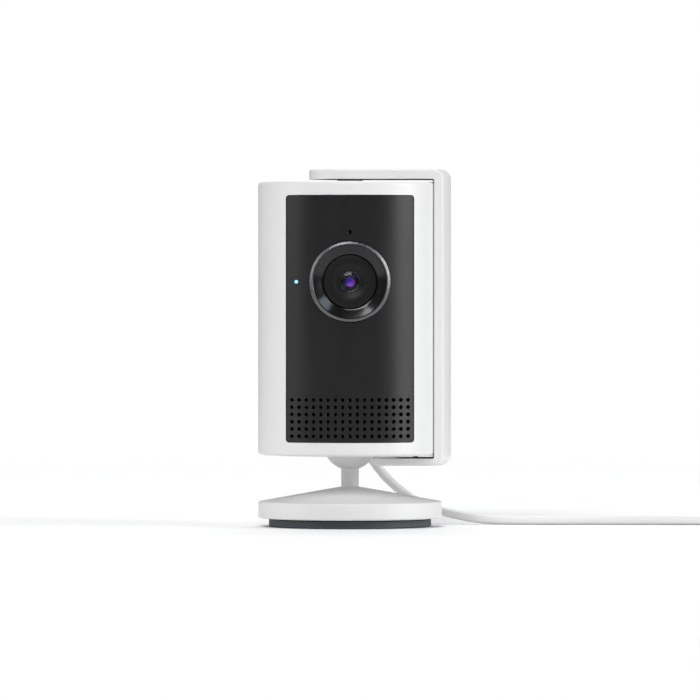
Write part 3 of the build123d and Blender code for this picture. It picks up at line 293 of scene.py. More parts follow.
@dataclass(frozen=True)
class Metal:
    """Bare or plated metal with drawn lines along one axis and small scuffs."""

    colour: Colour
    roughness: float = 0.25
    lines: Point = (1.0, 1.0, 0.06)
    depth: float = 0.000004

    def build(self, name: str) -> bpy.types.Material:
        """Return the material."""
        graph = Graph(name)
        drawn = graph.noise(5200.0, 2.0, self.lines)
        scuffs = graph.noise(420.0, 5.0).above(0.6, 0.12)
        return graph.close({
            "Base Color": graph.mix(drawn, shade(self.colour, 0.86), shade(self.colour, 1.06)),
            "Metallic": 1.0,
            "Roughness": self.roughness + (drawn - 0.5) * 0.16 + scuffs * 0.12,
            "Normal": graph.bump(drawn, self.depth),
        })


@dataclass(frozen=True)
class Circuit:
    """A printed board: solder mask over copper runs, with plated dots."""

    mask: Colour
    copper: Colour
    pitch: float = 420.0

    def build(self, name: str) -> bpy.types.Material:
        """Return the material."""
        graph = Graph(name)
        x, _, z = graph.axes()
        bands = graph.noise(90.0, 0.0)
        runs = ((x * self.pitch * 6.28 + bands * 9.0).sine() * (z * self.pitch * 3.1).sine()).above(0.45, 0.1)
        dots = 1.0 - graph.cells(self.pitch * 0.7).above(0.16, 0.04)
        over_runs = graph.mix(runs, self.mask, shade(self.mask, 1.9))
        return graph.close({
            "Base Color": graph.mix(dots, over_runs, self.copper),
            "Metallic": dots * 0.9,
            "Roughness": 0.42 - dots * 0.15 + (graph.noise(2400.0) - 0.5) * 0.1,
            "Normal": graph.bump(runs * 0.6 + dots * 0.4, 0.00003),
        })


@dataclass(frozen=True)
class Woven:
    """A fine plain weave of dark threads, as in an acoustic mesh or a cable tie's hook side."""

    colour: Colour
    pitch: float = 2600.0

    def build(self, name: str) -> bpy.types.Material:
        """Return the material."""
        graph = Graph(name)
        x, y, z = graph.axes()
        across = ((x + y * 0.6) * self.pitch * 6.28).sine()
        along = (z * self.pitch * 6.28).sine()
        weave = (across * along) * 0.5 + 0.5
        fuzz = graph.noise(9000.0, 2.0)
        return graph.close({
            "Base Color": graph.mix(weave * 0.7 + fuzz * 0.3, shade(self.colour, 0.45), shade(self.colour, 1.5)),
            "Roughness": 0.85 + (fuzz - 0.5) * 0.2,
            "Normal": graph.bump(weave, 0.00006),
            "Sheen Weight": 0.3,
        })


@dataclass(frozen=True)
class CoatedGlass:
    """Optical glass, clear and slightly tinted, with a faint haze."""

    tint: Colour = (0.75, 0.78, 0.95)
    roughness: float = 0.0

    def build(self, name: str) -> bpy.types.Material:
        """Return the material."""
        graph = Graph(name)
        haze = graph.noise(900.0, 2.0)
        return graph.close({
            "Base Color": graph.mix(haze, shade(self.tint, 0.96), self.tint),
            "Roughness": self.roughness + haze * 0.015,
            "Transmission Weight": 1.0,
            "IOR": 1.3,
                    })


@dataclass(frozen=True)
class LensCoatingPaintedGlint:
    """A coated inner lens with a painted glint: a violet-blue metallic disc round the lens axis, on near-black."""

    centre: Point
    # The radius of the painted glint disc.
    painted_glint_r: float = 1.05 * MM

    def build(self, name: str) -> bpy.types.Material:
        """Return the material."""
        graph = Graph(name)
        x, _, z = graph.axes()
        out = graph.radius(self.centre, 1)
        # Painted glint: only a disc of the glint's size is violet-blue and metallic; outside it the lens is
        # near-black.
        inside = 1 - out.above(self.painted_glint_r, 0.3 * MM)
        # Painted reflection colour: the glint is bluer on one side and more violet on the other, set by position.
        side = ((x - self.centre[0]) - (z - self.centre[2])).above(0.1 * MM, 1.2 * MM)
        glint_hue = graph.mix(side, (0.14, 0.10, 1.0), (0.72, 0.14, 0.95))
        return graph.close({
            "Base Color": graph.mix(inside, (0.004, 0.004, 0.008), glint_hue),
            "Metallic": inside * 0.85,
            "Roughness": 0.22 + graph.noise(1500.0) * 0.05,
        })


@dataclass(frozen=True)
class Glowing:
    """A clear light pipe, lit from behind: white in the middle and cyan at its rim."""

    centre: Point
    strength: float = 1.6

    def build(self, name: str) -> bpy.types.Material:
        """Return the material."""
        graph = Graph(name)
        core = 1.0 - graph.radius(self.centre, 1).above(0.26 * MM, 0.3 * MM)
        glow = graph.mix(core, (0.0, 0.42, 0.62), (0.75, 1.0, 1.0))
        return graph.close({
            "Base Color": (0.02, 0.16, 0.2, 1.0),
            "Roughness": 0.2 + graph.noise(3000.0) * 0.1,
            "Emission Color": glow,
            "Emission Strength": self.strength,
        })


@dataclass(frozen=True)
class Knurled:
    """Diamond-cut bright metal: crossing fine cuts round the lens axis."""

    colour: Colour
    centre: Point

    def build(self, name: str) -> bpy.types.Material:
        """Return the material."""
        graph = Graph(name)
        x, y, z = graph.axes()
        cuts = ((x + z + y * 2.0) * 16000.0).sine() * ((x - z - y * 2.0) * 16000.0).sine()
        worn = graph.noise(700.0, 3.0)
        return graph.close({
            "Base Color": graph.mix(cuts * 0.5 + 0.5, shade(self.colour, 0.8), shade(self.colour, 1.1)),
            "Metallic": 1.0,
            "Roughness": 0.22 + worn * 0.12,
            "Normal": graph.bump(cuts * 0.5 + 0.5, 0.00001),
        })


class Wardrobe:
    """Builds each finish once and puts it on pieces."""

    def __init__(self) -> None:
        """Start with no materials."""
        self.made: dict[str, bpy.types.Material] = {}

    def put(self, finish: Any, name: str, *pieces: bpy.types.Object) -> None:
        """Give pieces a finish.

        Args:
            finish: A finish with a build method.
            name: The material's name.
            pieces: The pieces to dress.
        """
        if name not in self.made:
            self.made[name] = finish.build(name)
        for piece in pieces:
            piece.data.materials.clear()
            piece.data.materials.append(self.made[name])


# ---- modelling tools -----------------------------------------------------------------------
def deselect() -> None:
    """Leave nothing selected."""
    if bpy.context.object and bpy.context.object.mode != "OBJECT":
        bpy.ops.object.mode_set(mode="OBJECT")
    bpy.ops.object.select_all(action="DESELECT")


def named(name: str) -> bpy.types.Object:
    """Name the object that was just added, and return it."""
    piece = bpy.context.object
    piece.name = name
    piece.data.name = name
    return piece


@contextmanager
def editing(piece: bpy.types.Object) -> Iterator[bmesh.types.BMesh]:
    """Enter edit mode on one piece with nothing selected, and leave it afterwards."""
    deselect()
    bpy.context.view_layer.objects.active = piece
    piece.select_set(True)
    bpy.ops.object.mode_set(mode="EDIT")
    bpy.ops.mesh.select_mode(type="FACE")
    bpy.ops.mesh.select_all(action="DESELECT")
    yield bmesh.from_edit_mesh(piece.data)
    bpy.ops.object.mode_set(mode="OBJECT")


def pick(piece: bpy.types.Object, kind: str, test: Callable[[Any], bool]) -> int:
    """Select the faces or edges that pass a test.

    Args:
        piece: The piece in edit mode.
        kind: "faces" or "edges".
        test: Takes a bmesh face or edge.
    Returns:
        How many were selected.
    """
    bpy.ops.mesh.select_mode(type="FACE" if kind == "faces" else "EDGE")
    bpy.ops.mesh.select_all(action="DESELECT")
    mesh = bmesh.from_edit_mesh(piece.data)
    chosen = [part for part in getattr(mesh, kind) if test(part)]
    for part in chosen:
        part.select_set(True)
    mesh.select_flush_mode()
    bmesh.update_edit_mesh(piece.data)
    return len(chosen)


def settle(piece: bpy.types.Object, smooth: float = 30.0) -> bpy.types.Object:
    """Apply a piece's place, and smooth its shallow edges."""
    deselect()
    piece.select_set(True)
    bpy.context.view_layer.objects.active = piece
    bpy.ops.object.transform_apply(location=True, rotation=True, scale=True)
    bpy.ops.object.shade_smooth_by_angle(angle=math.radians(smooth))
    return piece


def close_up(piece: bpy.types.Object, distance: float = 0.000004) -> None:
    """Merge a piece's doubles and turn its faces outwards."""
    with editing(piece):
        bpy.ops.mesh.select_all(action="SELECT")
        bpy.ops.mesh.remove_doubles(threshold=distance)
        bpy.ops.mesh.normals_make_consistent(inside=False)


def apply_modifier(piece: bpy.types.Object, kind: str, **settings: Any) -> None:
    """Add a modifier with these settings and apply it."""
    deselect()
    piece.select_set(True)
    bpy.context.view_layer.objects.active = piece
    modifier = piece.modifiers.new(kind.title(), kind)
    for name, value in settings.items():
        setattr(modifier, name, value)
    bpy.ops.object.modifier_apply(modifier=modifier.name)


def rounded_box(name: str, low: Vector, high: Vector, radius: float, segments: int = 4) -> bpy.types.Object:
    """Make a box with rounded edges.

    Args:
        name: The piece's name.
        low: Its lowest corner.
        high: Its highest corner.
        radius: The rounding of its edges.
        segments: How many faces go round an edge.
    Returns:
        The piece.
    """
    deselect()
    bpy.ops.mesh.primitive_cube_add(size=1.0, location=(low + high) / 2, scale=high - low)
    piece = settle(named(name))
    apply_modifier(piece, "BEVEL", width=radius, segments=segments, limit_method="ANGLE")
    return settle(piece)


def turned(name: str, profile: Sequence[tuple[float, float]], centre: Point, steps: int,
           closed: bool = True) -> bpy.types.Object:
    """Turn an outline about a line along Y, by extruding one edge loop from point to point.

    Args:
        name: The piece's name.
        profile: (radius, depth) of each point. A radius of 0 closes an end.
        centre: A point on the axis. Only its X and Z are used.
        steps: How many faces go round.
        closed: Whether the last point joins the first.
    Returns:
        The piece.
    """
    deselect()
    first_r, first_y = profile[0]
    bpy.ops.mesh.primitive_circle_add(vertices=steps, radius=first_r, fill_type="NOTHING",
                                      location=(centre[0], first_y, centre[2]),
                                      rotation=(math.pi / 2, 0.0, 0.0))
    piece = named(name)
    bpy.ops.object.transform_apply(location=True, rotation=True, scale=True)
    points = list(profile[1:]) + ([profile[0]] if closed else [])
    with editing(piece):
        bpy.ops.mesh.select_mode(type="EDGE")
        bpy.ops.mesh.select_all(action="SELECT")
        before_r, before_y = first_r, first_y
        for radius, depth in points:
            move = {"value": (0.0, depth - before_y, 0.0)}
            bpy.ops.mesh.extrude_edges_move(TRANSFORM_OT_translate=move)
            if radius == 0.0:
                bpy.ops.mesh.merge(type="CENTER")
                break
            grow = radius / before_r
            bpy.ops.transform.resize(value=(grow, 1.0, grow), center_override=(centre[0], depth, centre[2]))
            before_r, before_y = radius, depth
    close_up(piece)
    return settle(piece)


def arc(centre: tuple[float, float], radius: float, start: float, end: float,
        count: int) -> list[tuple[float, float]]:
    """Return points on an arc, in degrees, with both its ends."""
    angles = [math.radians(start + (end - start) * step / count) for step in range(count + 1)]
    return [(centre[0] + radius * math.cos(a), centre[1] + radius * math.sin(a)) for a in angles]


def smooth_line(name: str, points: Sequence[Point], resolution: int = 8) -> list[Vector]:
    """Return points along the smooth line that a cord's route gives.

    Args:
        name: The working curve's name.
        points: The route's control points.
        resolution: How many points are read for each control point.
    Returns:
        The points of the line, in order.
    """
    curve = bpy.data.curves.new(name, "CURVE")
    curve.dimensions = "3D"
    curve.resolution_u = resolution
    spline = curve.splines.new("NURBS")
    spline.points.add(len(points) - 1)
    for target, point in zip(spline.points, points):
        target.co = (*point, 1.0)
    spline.order_u = 3
    spline.use_endpoint_u = True
    holder = bpy.data.objects.new(name, curve)
    mesh = bpy.data.meshes.new_from_object(holder)
    line = [vertex.co.copy() for vertex in mesh.vertices]
    bpy.data.objects.remove(holder)
    bpy.data.curves.remove(curve)
    bpy.data.meshes.remove(mesh)
    return line


def tube(name: str, line: Sequence[Vector], radius: float, sides: int = 12) -> bpy.types.Object:
    """Make a round mesh tube along a line, closed at both ends.

    Args:
        name: The piece's name.
        line: The points that it follows.
        radius: Its radius.
        sides: How many faces go round.
    Returns:
        The piece.
    """
    mesh = bmesh.new()
    heading = (line[1] - line[0]).normalized()
    side = heading.orthogonal().normalized()
    rings = []
    for number, point in enumerate(line):
        before = line[max(0, number - 1)]
        after = line[min(len(line) - 1, number + 1)]
        turn = heading.rotation_difference((after - before).normalized())
        heading = (after - before).normalized()
        side = (turn @ side).normalized()
        up = heading.cross(side)
        angles = [2 * math.pi * step / sides for step in range(sides)]
        rings.append([mesh.verts.new(point + radius * (math.cos(a) * side + math.sin(a) * up)) for a in angles])
    for low, high in zip(rings, rings[1:]):
        for step in range(sides):
            after = (step + 1) % sides
            mesh.faces.new((low[step], low[after], high[after], high[step]))
    mesh.faces.new(tuple(reversed(rings[0])))
    mesh.faces.new(tuple(rings[-1]))
    data = bpy.data.meshes.new(name)
    mesh.to_mesh(data)
    mesh.free()
    piece = bpy.data.objects.new(name, data)
    bpy.context.scene.collection.objects.link(piece)
    return settle(piece, 40.0)


# ---- sub-assemblies ------------------------------------------------------------------------
class Body(Enum):
    """The bodies that pieces ride on."""

    BASE = "base"
    BRACKET = "bracket"
    BALL = "ball"
    LINER = "liner"
    HEAD = "head"
    COVER = "cover"
    BUTTON = "button"


WHITE_SHELL = Moulded((0.79, 0.79, 0.785), roughness=0.36, grain=3000.0, depth=0.000008, drift=0.012)
GREY_RUBBER = Moulded((0.085, 0.098, 0.108), roughness=0.62, grain=2600.0, depth=0.00002, drift=0.08)
GREY_PLASTIC = Moulded((0.16, 0.17, 0.18), roughness=0.45, grain=2600.0, depth=0.00001, drift=0.05)
BLACK_FACE = Moulded((0.006, 0.006, 0.0062), roughness=0.36, grain=4200.0, depth=0.000003, drift=0.08,
                     specular=0.4)
BLACK_PLASTIC = Moulded((0.0035, 0.0038, 0.004), roughness=0.4, grain=3200.0, depth=0.000004, drift=0.1,
                        specular=0.3)
GLOSS_BLACK = Moulded((0.003, 0.003, 0.0035), roughness=0.16, grain=1800.0, depth=0.0000006, drift=0.1)
WHITE_JACKET = Moulded((0.80, 0.80, 0.79), roughness=0.42, grain=1500.0, depth=0.00001, drift=0.02)
CHIP_EPOXY = Moulded((0.02, 0.02, 0.022), roughness=0.55, grain=5200.0, depth=0.00001, drift=0.15)
CLEAR_PLASTIC = Moulded((0.75, 0.78, 0.8), roughness=0.15, grain=900.0, depth=0.000002, coat=0.4)
STEEL = Metal((0.52, 0.52, 0.51), roughness=0.32)
BRIGHT_METAL = Metal((0.74, 0.75, 0.77), roughness=0.2)
GOLD = Metal((0.83, 0.61, 0.28), roughness=0.24)
GREEN_BOARD = Circuit((0.006, 0.055, 0.03), (0.8, 0.58, 0.28))
BLACK_BOARD = Circuit((0.008, 0.009, 0.012), (0.78, 0.6, 0.33), pitch=520.0)
ACOUSTIC_MESH = Woven((0.02, 0.02, 0.022))
TIE_STRAP = Woven((0.62, 0.62, 0.61), pitch=1500.0)


@dataclass
class SubAssembly:
    """What every sub-assembly shares: the frame, the finishes and how a piece is put in place."""

    frame: dict[str, Any]
    wardrobe: Wardrobe
    made: list[bpy.types.Object] = field(default_factory=list)

    def dress_nodes(self, finish: Any, material: str, *nodes: str) -> None:
        """Give CAD nodes a finish.

        Args:
            finish: The finish.
            material: The material's name.
            nodes: The nodes' names.
        """
        self.wardrobe.put(finish, material, *[self.frame["nodes"][node] for node in nodes])
        LOG.info("dressed %s in %s", ", ".join(nodes), material)

    def fit(self, piece: bpy.types.Object, finish: Any, material: str, slot: str, *nodes: str) -> None:
        """Dress a new piece, and hide and log the nodes that it stands for.

        Args:
            piece: The new piece.
            finish: Its finish.
            material: The material's name.
            slot: The record's slot that its finish belongs to. Not used.
            nodes: The CAD nodes that it stands for.
        """
        self.wardrobe.put(finish, material, piece)
        if nodes:
            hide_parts(*nodes)
        self.made.append(piece)
        LOG.info("made %s for %s", piece.name, ", ".join(nodes) or "detail")

    def centre(self, node: str) -> Vector:
        """Return the middle of a node's box."""
        low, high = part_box(node)
        return (low + high) / 2


@dataclass
class Studio:
    """The floor, the lights and the camera."""

    distance: float = 1.685
    eye_height: float = 0.0611
    aim_height: float = 0.0472
    lens: float = 324.0
    floor_half: float = 0.9
    floor_solid_r: float = 0.22
    floor_fade: float = 0.5
    light_distance: float = 1.45
    sky: float = 0.16
    ground: float = 0.5
    horizon: float = -0.2

    def build(self) -> None:
        """Make them all."""
        self.make_camera()
        self.make_floor()
        self.make_world()
        self.make_softbox("overhead", 180.0, 62.0, (1.1, 1.1), 11.5)
        self.make_softbox("front_top", -15.0, 40.0, (0.9, 0.5), 9.5)
        self.make_softbox("right_key", 74.0, 16.0, (0.75, 0.75), 10.5)
        self.make_softbox("left_fill", -78.0, 20.0, (0.8, 0.8), 5.0)
        self.make_softbox("window", 46.0, 34.0, (0.35, 0.4), 1.6, (0.8, 0.89, 1.0))
        bpy.context.scene.view_settings.view_transform = "Standard"

    def make_camera(self) -> None:
        """Put the camera straight in front, a little above the lens and looking slightly down."""
        data = bpy.data.cameras.new("front_camera")
        data.lens = self.lens
        data.sensor_width = 36.0
        data.clip_start = 0.05
        data.clip_end = 60.0
        camera = bpy.data.objects.new("front_camera", data)
        bpy.context.scene.collection.objects.link(camera)
        camera.location = (0.0, -self.distance, self.eye_height)
        dip = math.atan2(self.eye_height - self.aim_height, self.distance)
        camera.rotation_euler = (math.pi / 2 - dip, 0.0, 0.0)
        bpy.context.scene.camera = camera
        LOG.info("camera %.0f mm from the axis, %.0f mm lens", self.distance / MM, self.lens)

    def make_floor(self) -> None:
        """Lay a pale floor that thins out into the backdrop."""
        deselect()
        bpy.ops.mesh.primitive_plane_add(size=2 * self.floor_half)
        floor = named("studio_floor")
        graph = Graph("pale_floor")
        grain = graph.noise(60.0, 3.0)
        paper = graph.node("BsdfDiffuse", None, {
            "Color": graph.mix(grain, (0.92, 0.92, 0.92), (0.94, 0.94, 0.94)), "Roughness": 0.5})
        away = graph.radius((0.0, 0.0, 0.0), 2).above(self.floor_solid_r + self.floor_fade / 2, self.floor_fade)
        thin = graph.node("MixShader", None, {
            0: away, 1: paper.outputs[0], 2: graph.node("BsdfTransparent").outputs[0]})
        graph.node("OutputMaterial", None, {"Surface": thin.outputs[0]})
        floor.data.materials.append(graph.material)

    def make_world(self) -> None:
        """Surround the object with a white backdrop that lights it more from below than from above."""
        world = bpy.data.worlds.new("studio")
        world.use_nodes = True
        graph = Graph("backdrop", world.node_tree)
        height = Signal(graph, graph.node("SeparateXYZ", None, {
            0: graph.node("TexCoord").outputs["Generated"]}).outputs[2])
        above = height.above(self.horizon, 0.2)
        seen = Signal(graph, graph.node("LightPath").outputs["Is Camera Ray"])
        light = above * (self.sky - self.ground) + self.ground
        strength = seen + (1 - seen) * light
        background = graph.node("Background", None, {"Color": (1.0, 1.0, 1.0, 1.0), "Strength": strength})
        graph.node("OutputWorld", None, {"Surface": background.outputs[0]})
        bpy.context.scene.world = world

    def make_softbox(self, name: str, bearing: float, climb: float, size: tuple[float, float],
                     watts: float, colour: Colour = (1.0, 1.0, 1.0)) -> None:
        """Hang one soft light that faces the object.

        Args:
            name: The light's name.
            bearing: Degrees from the front towards the right.
            climb: Degrees above the floor.
            size: Its width and height.
            watts: Its power.
            colour: Its colour.
        """
        data = bpy.data.lights.new(name, "AREA")
        data.color = colour
        data.shape = "RECTANGLE"
        data.size, data.size_y = size
        data.energy = watts
        light = bpy.data.objects.new(name, data)
        bpy.context.scene.collection.objects.link(light)
        turn, rise = math.radians(bearing), math.radians(climb)
        place = self.light_distance * Vector((math.cos(rise) * math.sin(turn),
                                              -math.cos(rise) * math.cos(turn), math.sin(rise)))
        light.location = place
        aim = Vector((0.0, 0.0, self.aim_height)) - place
        light.rotation_euler = aim.to_track_quat("-Z", "Y").to_euler()


@dataclass
class Cable(SubAssembly):
    """The power cable: its drop from the head, the stretch on the floor, the coil and both ends."""

    diameter: float = 0.0025
    drop_length: float = 0.033
    length: float = 2.0
    drop_route: tuple[Point, ...] = (
        (0.0050, 0.0282, 0.0184), (0.0075, 0.0283, 0.0151), (0.0107, 0.0281, 0.0113),
        (0.0147, 0.0271, 0.0080), (0.0193, 0.0246, 0.0053), (0.0242, 0.0209, 0.0034),
        (0.0294, 0.01755, 0.002425),
    )
    floor_route: tuple[Point, ...] = (
        (0.0294, 0.01755, 0.002425), (0.0346, 0.0142, 0.00145), (0.0424, 0.0125, 0.00127),
        (0.0540, 0.0120, 0.00125), (0.0680, 0.0124, 0.00125), (0.0820, 0.0119, 0.00125),
        (0.0940, 0.0102, 0.00125), (0.1045, 0.0083, 0.00125), (0.1135, 0.0078, 0.00125),
    )
    coil_centre: tuple[float, float] = (0.1175, 0.0265)
    inner_turn_r: float = 0.01125
    turns_wide: int = 4
    layers_wound: int = 3
    last_turns: tuple[tuple[int, int], ...] = ((0, 3), (0, 4), (1, 4), (1, 3), (2, 3), (3, 3), (3, 4), (2, 4))
    points_per_turn: int = 16
    coil_start: float = -102.0
    shift_share: float = 0.25
    tail_leaves: Point = (0.1314, 0.0177, 0.0122)
    tail_start: float = -32.5
    tail_turn: float = 25.0
    tail_runs: tuple[float, ...] = (0.008, 0.008, 0.008, 0.008, 0.006, 0.0042, 0.0042, 0.0042, 0.0042)
    tail_heights: tuple[float, ...] = (0.0135, 0.0139)
    bend_end: Point = (0.058, 0.012, 0.00125)

    def build(self) -> None:
        """Make the cable and what is on it."""
        self.make_drop(self.make_boot(), self.make_head_plug(), self.frame["nodes"]["micro_usb_shell"])
        self.make_main(self.make_tie(), *self.make_power_plug())

    def turn_cells(self) -> list[tuple[int, int]]:
        """Return the column, counted from the inside, and the layer of each turn as it is wound."""
        cells = []
        for layer in range(self.layers_wound):
            columns = range(self.turns_wide)
            cells += [(column, layer) for column in (columns if layer % 2 else reversed(columns))]
        return cells + list(self.last_turns)

    def coil_points(self) -> list[Point]:
        """Return the control points of the coil's turns, each shifting to the next as it closes."""
        cells = self.turn_cells()
        outward = 1 / math.cos(math.pi / self.points_per_turn)
        points = []
        for number, (here, after) in enumerate(zip(cells, cells[1:] + cells[-1:])):
            for step in range(self.points_per_turn):
                done = step / self.points_per_turn
                share = max(0.0, (done - 1 + self.shift_share) / self.shift_share)
                share = share * share * (3 - 2 * share)
                column = here[0] + (after[0] - here[0]) * share
                layer = here[1] + (after[1] - here[1]) * share
                radius = (self.inner_turn_r + column * self.diameter) * outward
                angle = math.radians(self.coil_start + 360 * (number + done))
                points.append((self.coil_centre[0] + radius * math.cos(angle),
                               self.coil_centre[1] + radius * math.sin(angle),
                               (layer + 0.5) * self.diameter))
        last_x, last_y, last_z = points[-self.points_per_turn]
        x, y = last_x - self.coil_centre[0], last_y - self.coil_centre[1]
        for step in range(3):
            angle = math.radians(360 * step / self.points_per_turn)
            points.append((self.coil_centre[0] + x * math.cos(angle) - y * math.sin(angle),
                           self.coil_centre[1] + x * math.sin(angle) + y * math.cos(angle), last_z))
        return points[1:]

    def tail_points(self) -> list[Point]:
        """Return the last stretch, which climbs out of the coil and curls in over it."""
        outer_r = self.inner_turn_r + (self.turns_wide - 1) * self.diameter
        heading = self.tail_start + 90 + self.tail_turn / 2
        x = self.coil_centre[0] + outer_r * math.cos(math.radians(self.tail_start))
        y = self.coil_centre[1] + outer_r * math.sin(math.radians(self.tail_start))
        level = 5.5 * self.diameter
        heights = self.tail_heights + (level,) * (len(self.tail_runs) - len(self.tail_heights))
        points = [self.tail_leaves]
        for run, height in zip(self.tail_runs, heights):
            x += run * math.cos(math.radians(heading))
            y += run * math.sin(math.radians(heading))
            points.append((x, y, height))
            heading += self.tail_turn
        return points

    def make_drop(self, *pieces: bpy.types.Object) -> None:
        """Hang the short stretch from the head's plug to the floor."""
        line = smooth_line("drop_line", self.drop_route)
        drop = tube("cable_from_head", line, self.diameter / 2)
        self.fit(drop, WHITE_JACKET, "white_jacket", "white_cable", "cable_drop")
        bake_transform(drop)

    def make_main(self, tie: bpy.types.Object, *pieces: bpy.types.Object) -> None:
        """Lay the cable along the floor and wind the rest into its coil."""
        route = list(self.floor_route) + self.coil_points() + self.tail_points()
        line = smooth_line("cable_line", route, 4)
        cable = tube("power_cable", line, self.diameter / 2, 10)
        self.fit(cable, WHITE_JACKET, "white_jacket", "white_cable", "cable_floor", "cable_coil", "cable_tail")
        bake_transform(cable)

    def make_head_plug(self) -> bpy.types.Object:
        """Make the moulded grip of the plug in the back of the head, and dress its metal shell."""
        low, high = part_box("micro_usb_plug")
        plug = rounded_box("head_plug", low, high, 1.15 * MM, 5)
        with editing(plug):
            for side in (-1, 1):
                pick(plug, "faces", lambda face: face.normal.x * side > 0.99)
                bpy.ops.mesh.inset(thickness=0.9 * MM)
                bpy.ops.mesh.extrude_region_move(
                    TRANSFORM_OT_translate={"value": (-0.3 * MM * side, 0.0, 0.0)})
        apply_modifier(plug, "BEVEL", width=0.1 * MM, segments=2, limit_method="ANGLE", angle_limit=0.6)
        settle(plug)
        self.fit(plug, WHITE_JACKET, "white_jacket", "white_cable", "micro_usb_plug")
        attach(plug, "head")
        self.dress_nodes(BRIGHT_METAL, "bright_metal", "micro_usb_shell")
        return plug

    def make_boot(self) -> bpy.types.Object:
        """Make the ribbed sleeve where the cable leaves the head's plug."""
        start, after = Vector(self.drop_route[0]), Vector(self.drop_route[1])
        along = (after - start).normalized()
        long = 5.0 * MM
        profile = [(2.35 * MM, 0.0)]
        ribs = 4
        for rib in range(ribs):
            radius = (2.3 - 0.17 * rib) * MM
            at = (0.7 + rib * 0.95) * MM
            profile += [(radius, at), (radius - 0.28 * MM, at + 0.12 * MM),
                        (radius - 0.28 * MM, at + 0.42 * MM), (radius - 0.1 * MM, at + 0.54 * MM)]
        profile += [(1.62 * MM, long - 0.15 * MM), (1.5 * MM, long), (1.0 * MM, long), (1.0 * MM, 0.0)]
        boot = turned("cable_boot", profile, (0.0, 0.0, 0.0), 32)
        boot.rotation_mode = "QUATERNION"
        boot.rotation_quaternion = along.to_track_quat("Y", "Z")
        boot.location = start - along * long
        settle(boot)
        self.fit(boot, WHITE_JACKET, "white_jacket", "white_cable", "plug_boot")
        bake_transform(boot)
        return boot

    def make_tie(self) -> bpy.types.Object:
        """Make the strap that holds the coil, as a band bent round its section."""
        low_r, high_r = 9.5 * MM, 20.35 * MM
        top = 12.85 * MM
        thick = 0.5 * MM
        deselect()
        bpy.ops.mesh.primitive_cube_add(size=1.0, location=((low_r + high_r) / 2, 0.0, (top + thick) / 2),
                                        scale=(high_r - low_r, 3.0 * MM, top - thick))
        tie = settle(named("coil_strap"))
        with editing(tie):
            pick(tie, "faces", lambda face: abs(face.normal.y) > 0.9)
            bpy.ops.mesh.delete(type="FACE")
            pick(tie, "edges", lambda edge: abs((edge.verts[0].co - edge.verts[1].co).y) > 0.001)
            bpy.ops.mesh.bevel(offset=1.3 * MM, segments=5)
        apply_modifier(tie, "SOLIDIFY", thickness=thick, offset=1.0)
        apply_modifier(tie, "BEVEL", width=0.12 * MM, segments=2, limit_method="ANGLE")
        tie.location = (*self.coil_centre, 0.0)
        tie.rotation_euler = (0.0, 0.0, math.radians(-60.0))
        settle(tie)
        self.fit(tie, TIE_STRAP, "tie_strap", "white_cable", "coil_tie")
        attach(tie, "base")
        return tie

    def make_power_plug(self) -> list[bpy.types.Object]:
        """Make the large plug on the coil: its grip, metal shell, tongue and contacts."""
        low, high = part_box("usb_a_plug")
        relief = 5.0 * MM
        body_high = Vector((high.x, high.y - relief, high.z))
        grip = rounded_box("power_plug_grip", low, body_high, 1.3 * MM, 5)
        with editing(grip):
            for side in (-1, 1):
                pick(grip, "faces", lambda face: face.normal.z * side > 0.99)
                bpy.ops.mesh.inset(thickness=1.4 * MM)
                bpy.ops.mesh.extrude_region_move(
                    TRANSFORM_OT_translate={"value": (0.0, 0.0, -0.3 * MM * side)})
                bpy.ops.mesh.inset(thickness=0.25 * MM)
        apply_modifier(grip, "BEVEL", width=0.1 * MM, segments=2, limit_method="ANGLE", angle_limit=0.6)
        settle(grip)
        end_x = (low.x + high.x) / 2
        end_z = 5.5 * self.diameter
        ribs = [(2.6 * MM, body_high.y - 0.4 * MM)]
        for rib in range(4):
            radius, at = (2.5 - 0.22 * rib) * MM, body_high.y + (0.5 + rib * 1.0) * MM
            ribs += [(radius, at), (radius - 0.25 * MM, at + 0.15 * MM), (radius - 0.25 * MM, at + 0.5 * MM),
                     (radius - 0.08 * MM, at + 0.65 * MM)]
        ribs += [(1.5 * MM, high.y), (1.0 * MM, high.y), (1.0 * MM, body_high.y - 0.4 * MM)]
        sleeve = turned("power_plug_sleeve", ribs, (end_x, 0.0, end_z), 32)
        for piece in (grip, sleeve):
            self.fit(piece, WHITE_JACKET, "white_jacket", "white_cable", "usb_a_plug")
            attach(piece, "base")
        return [grip, sleeve, *self.make_plug_metal()]

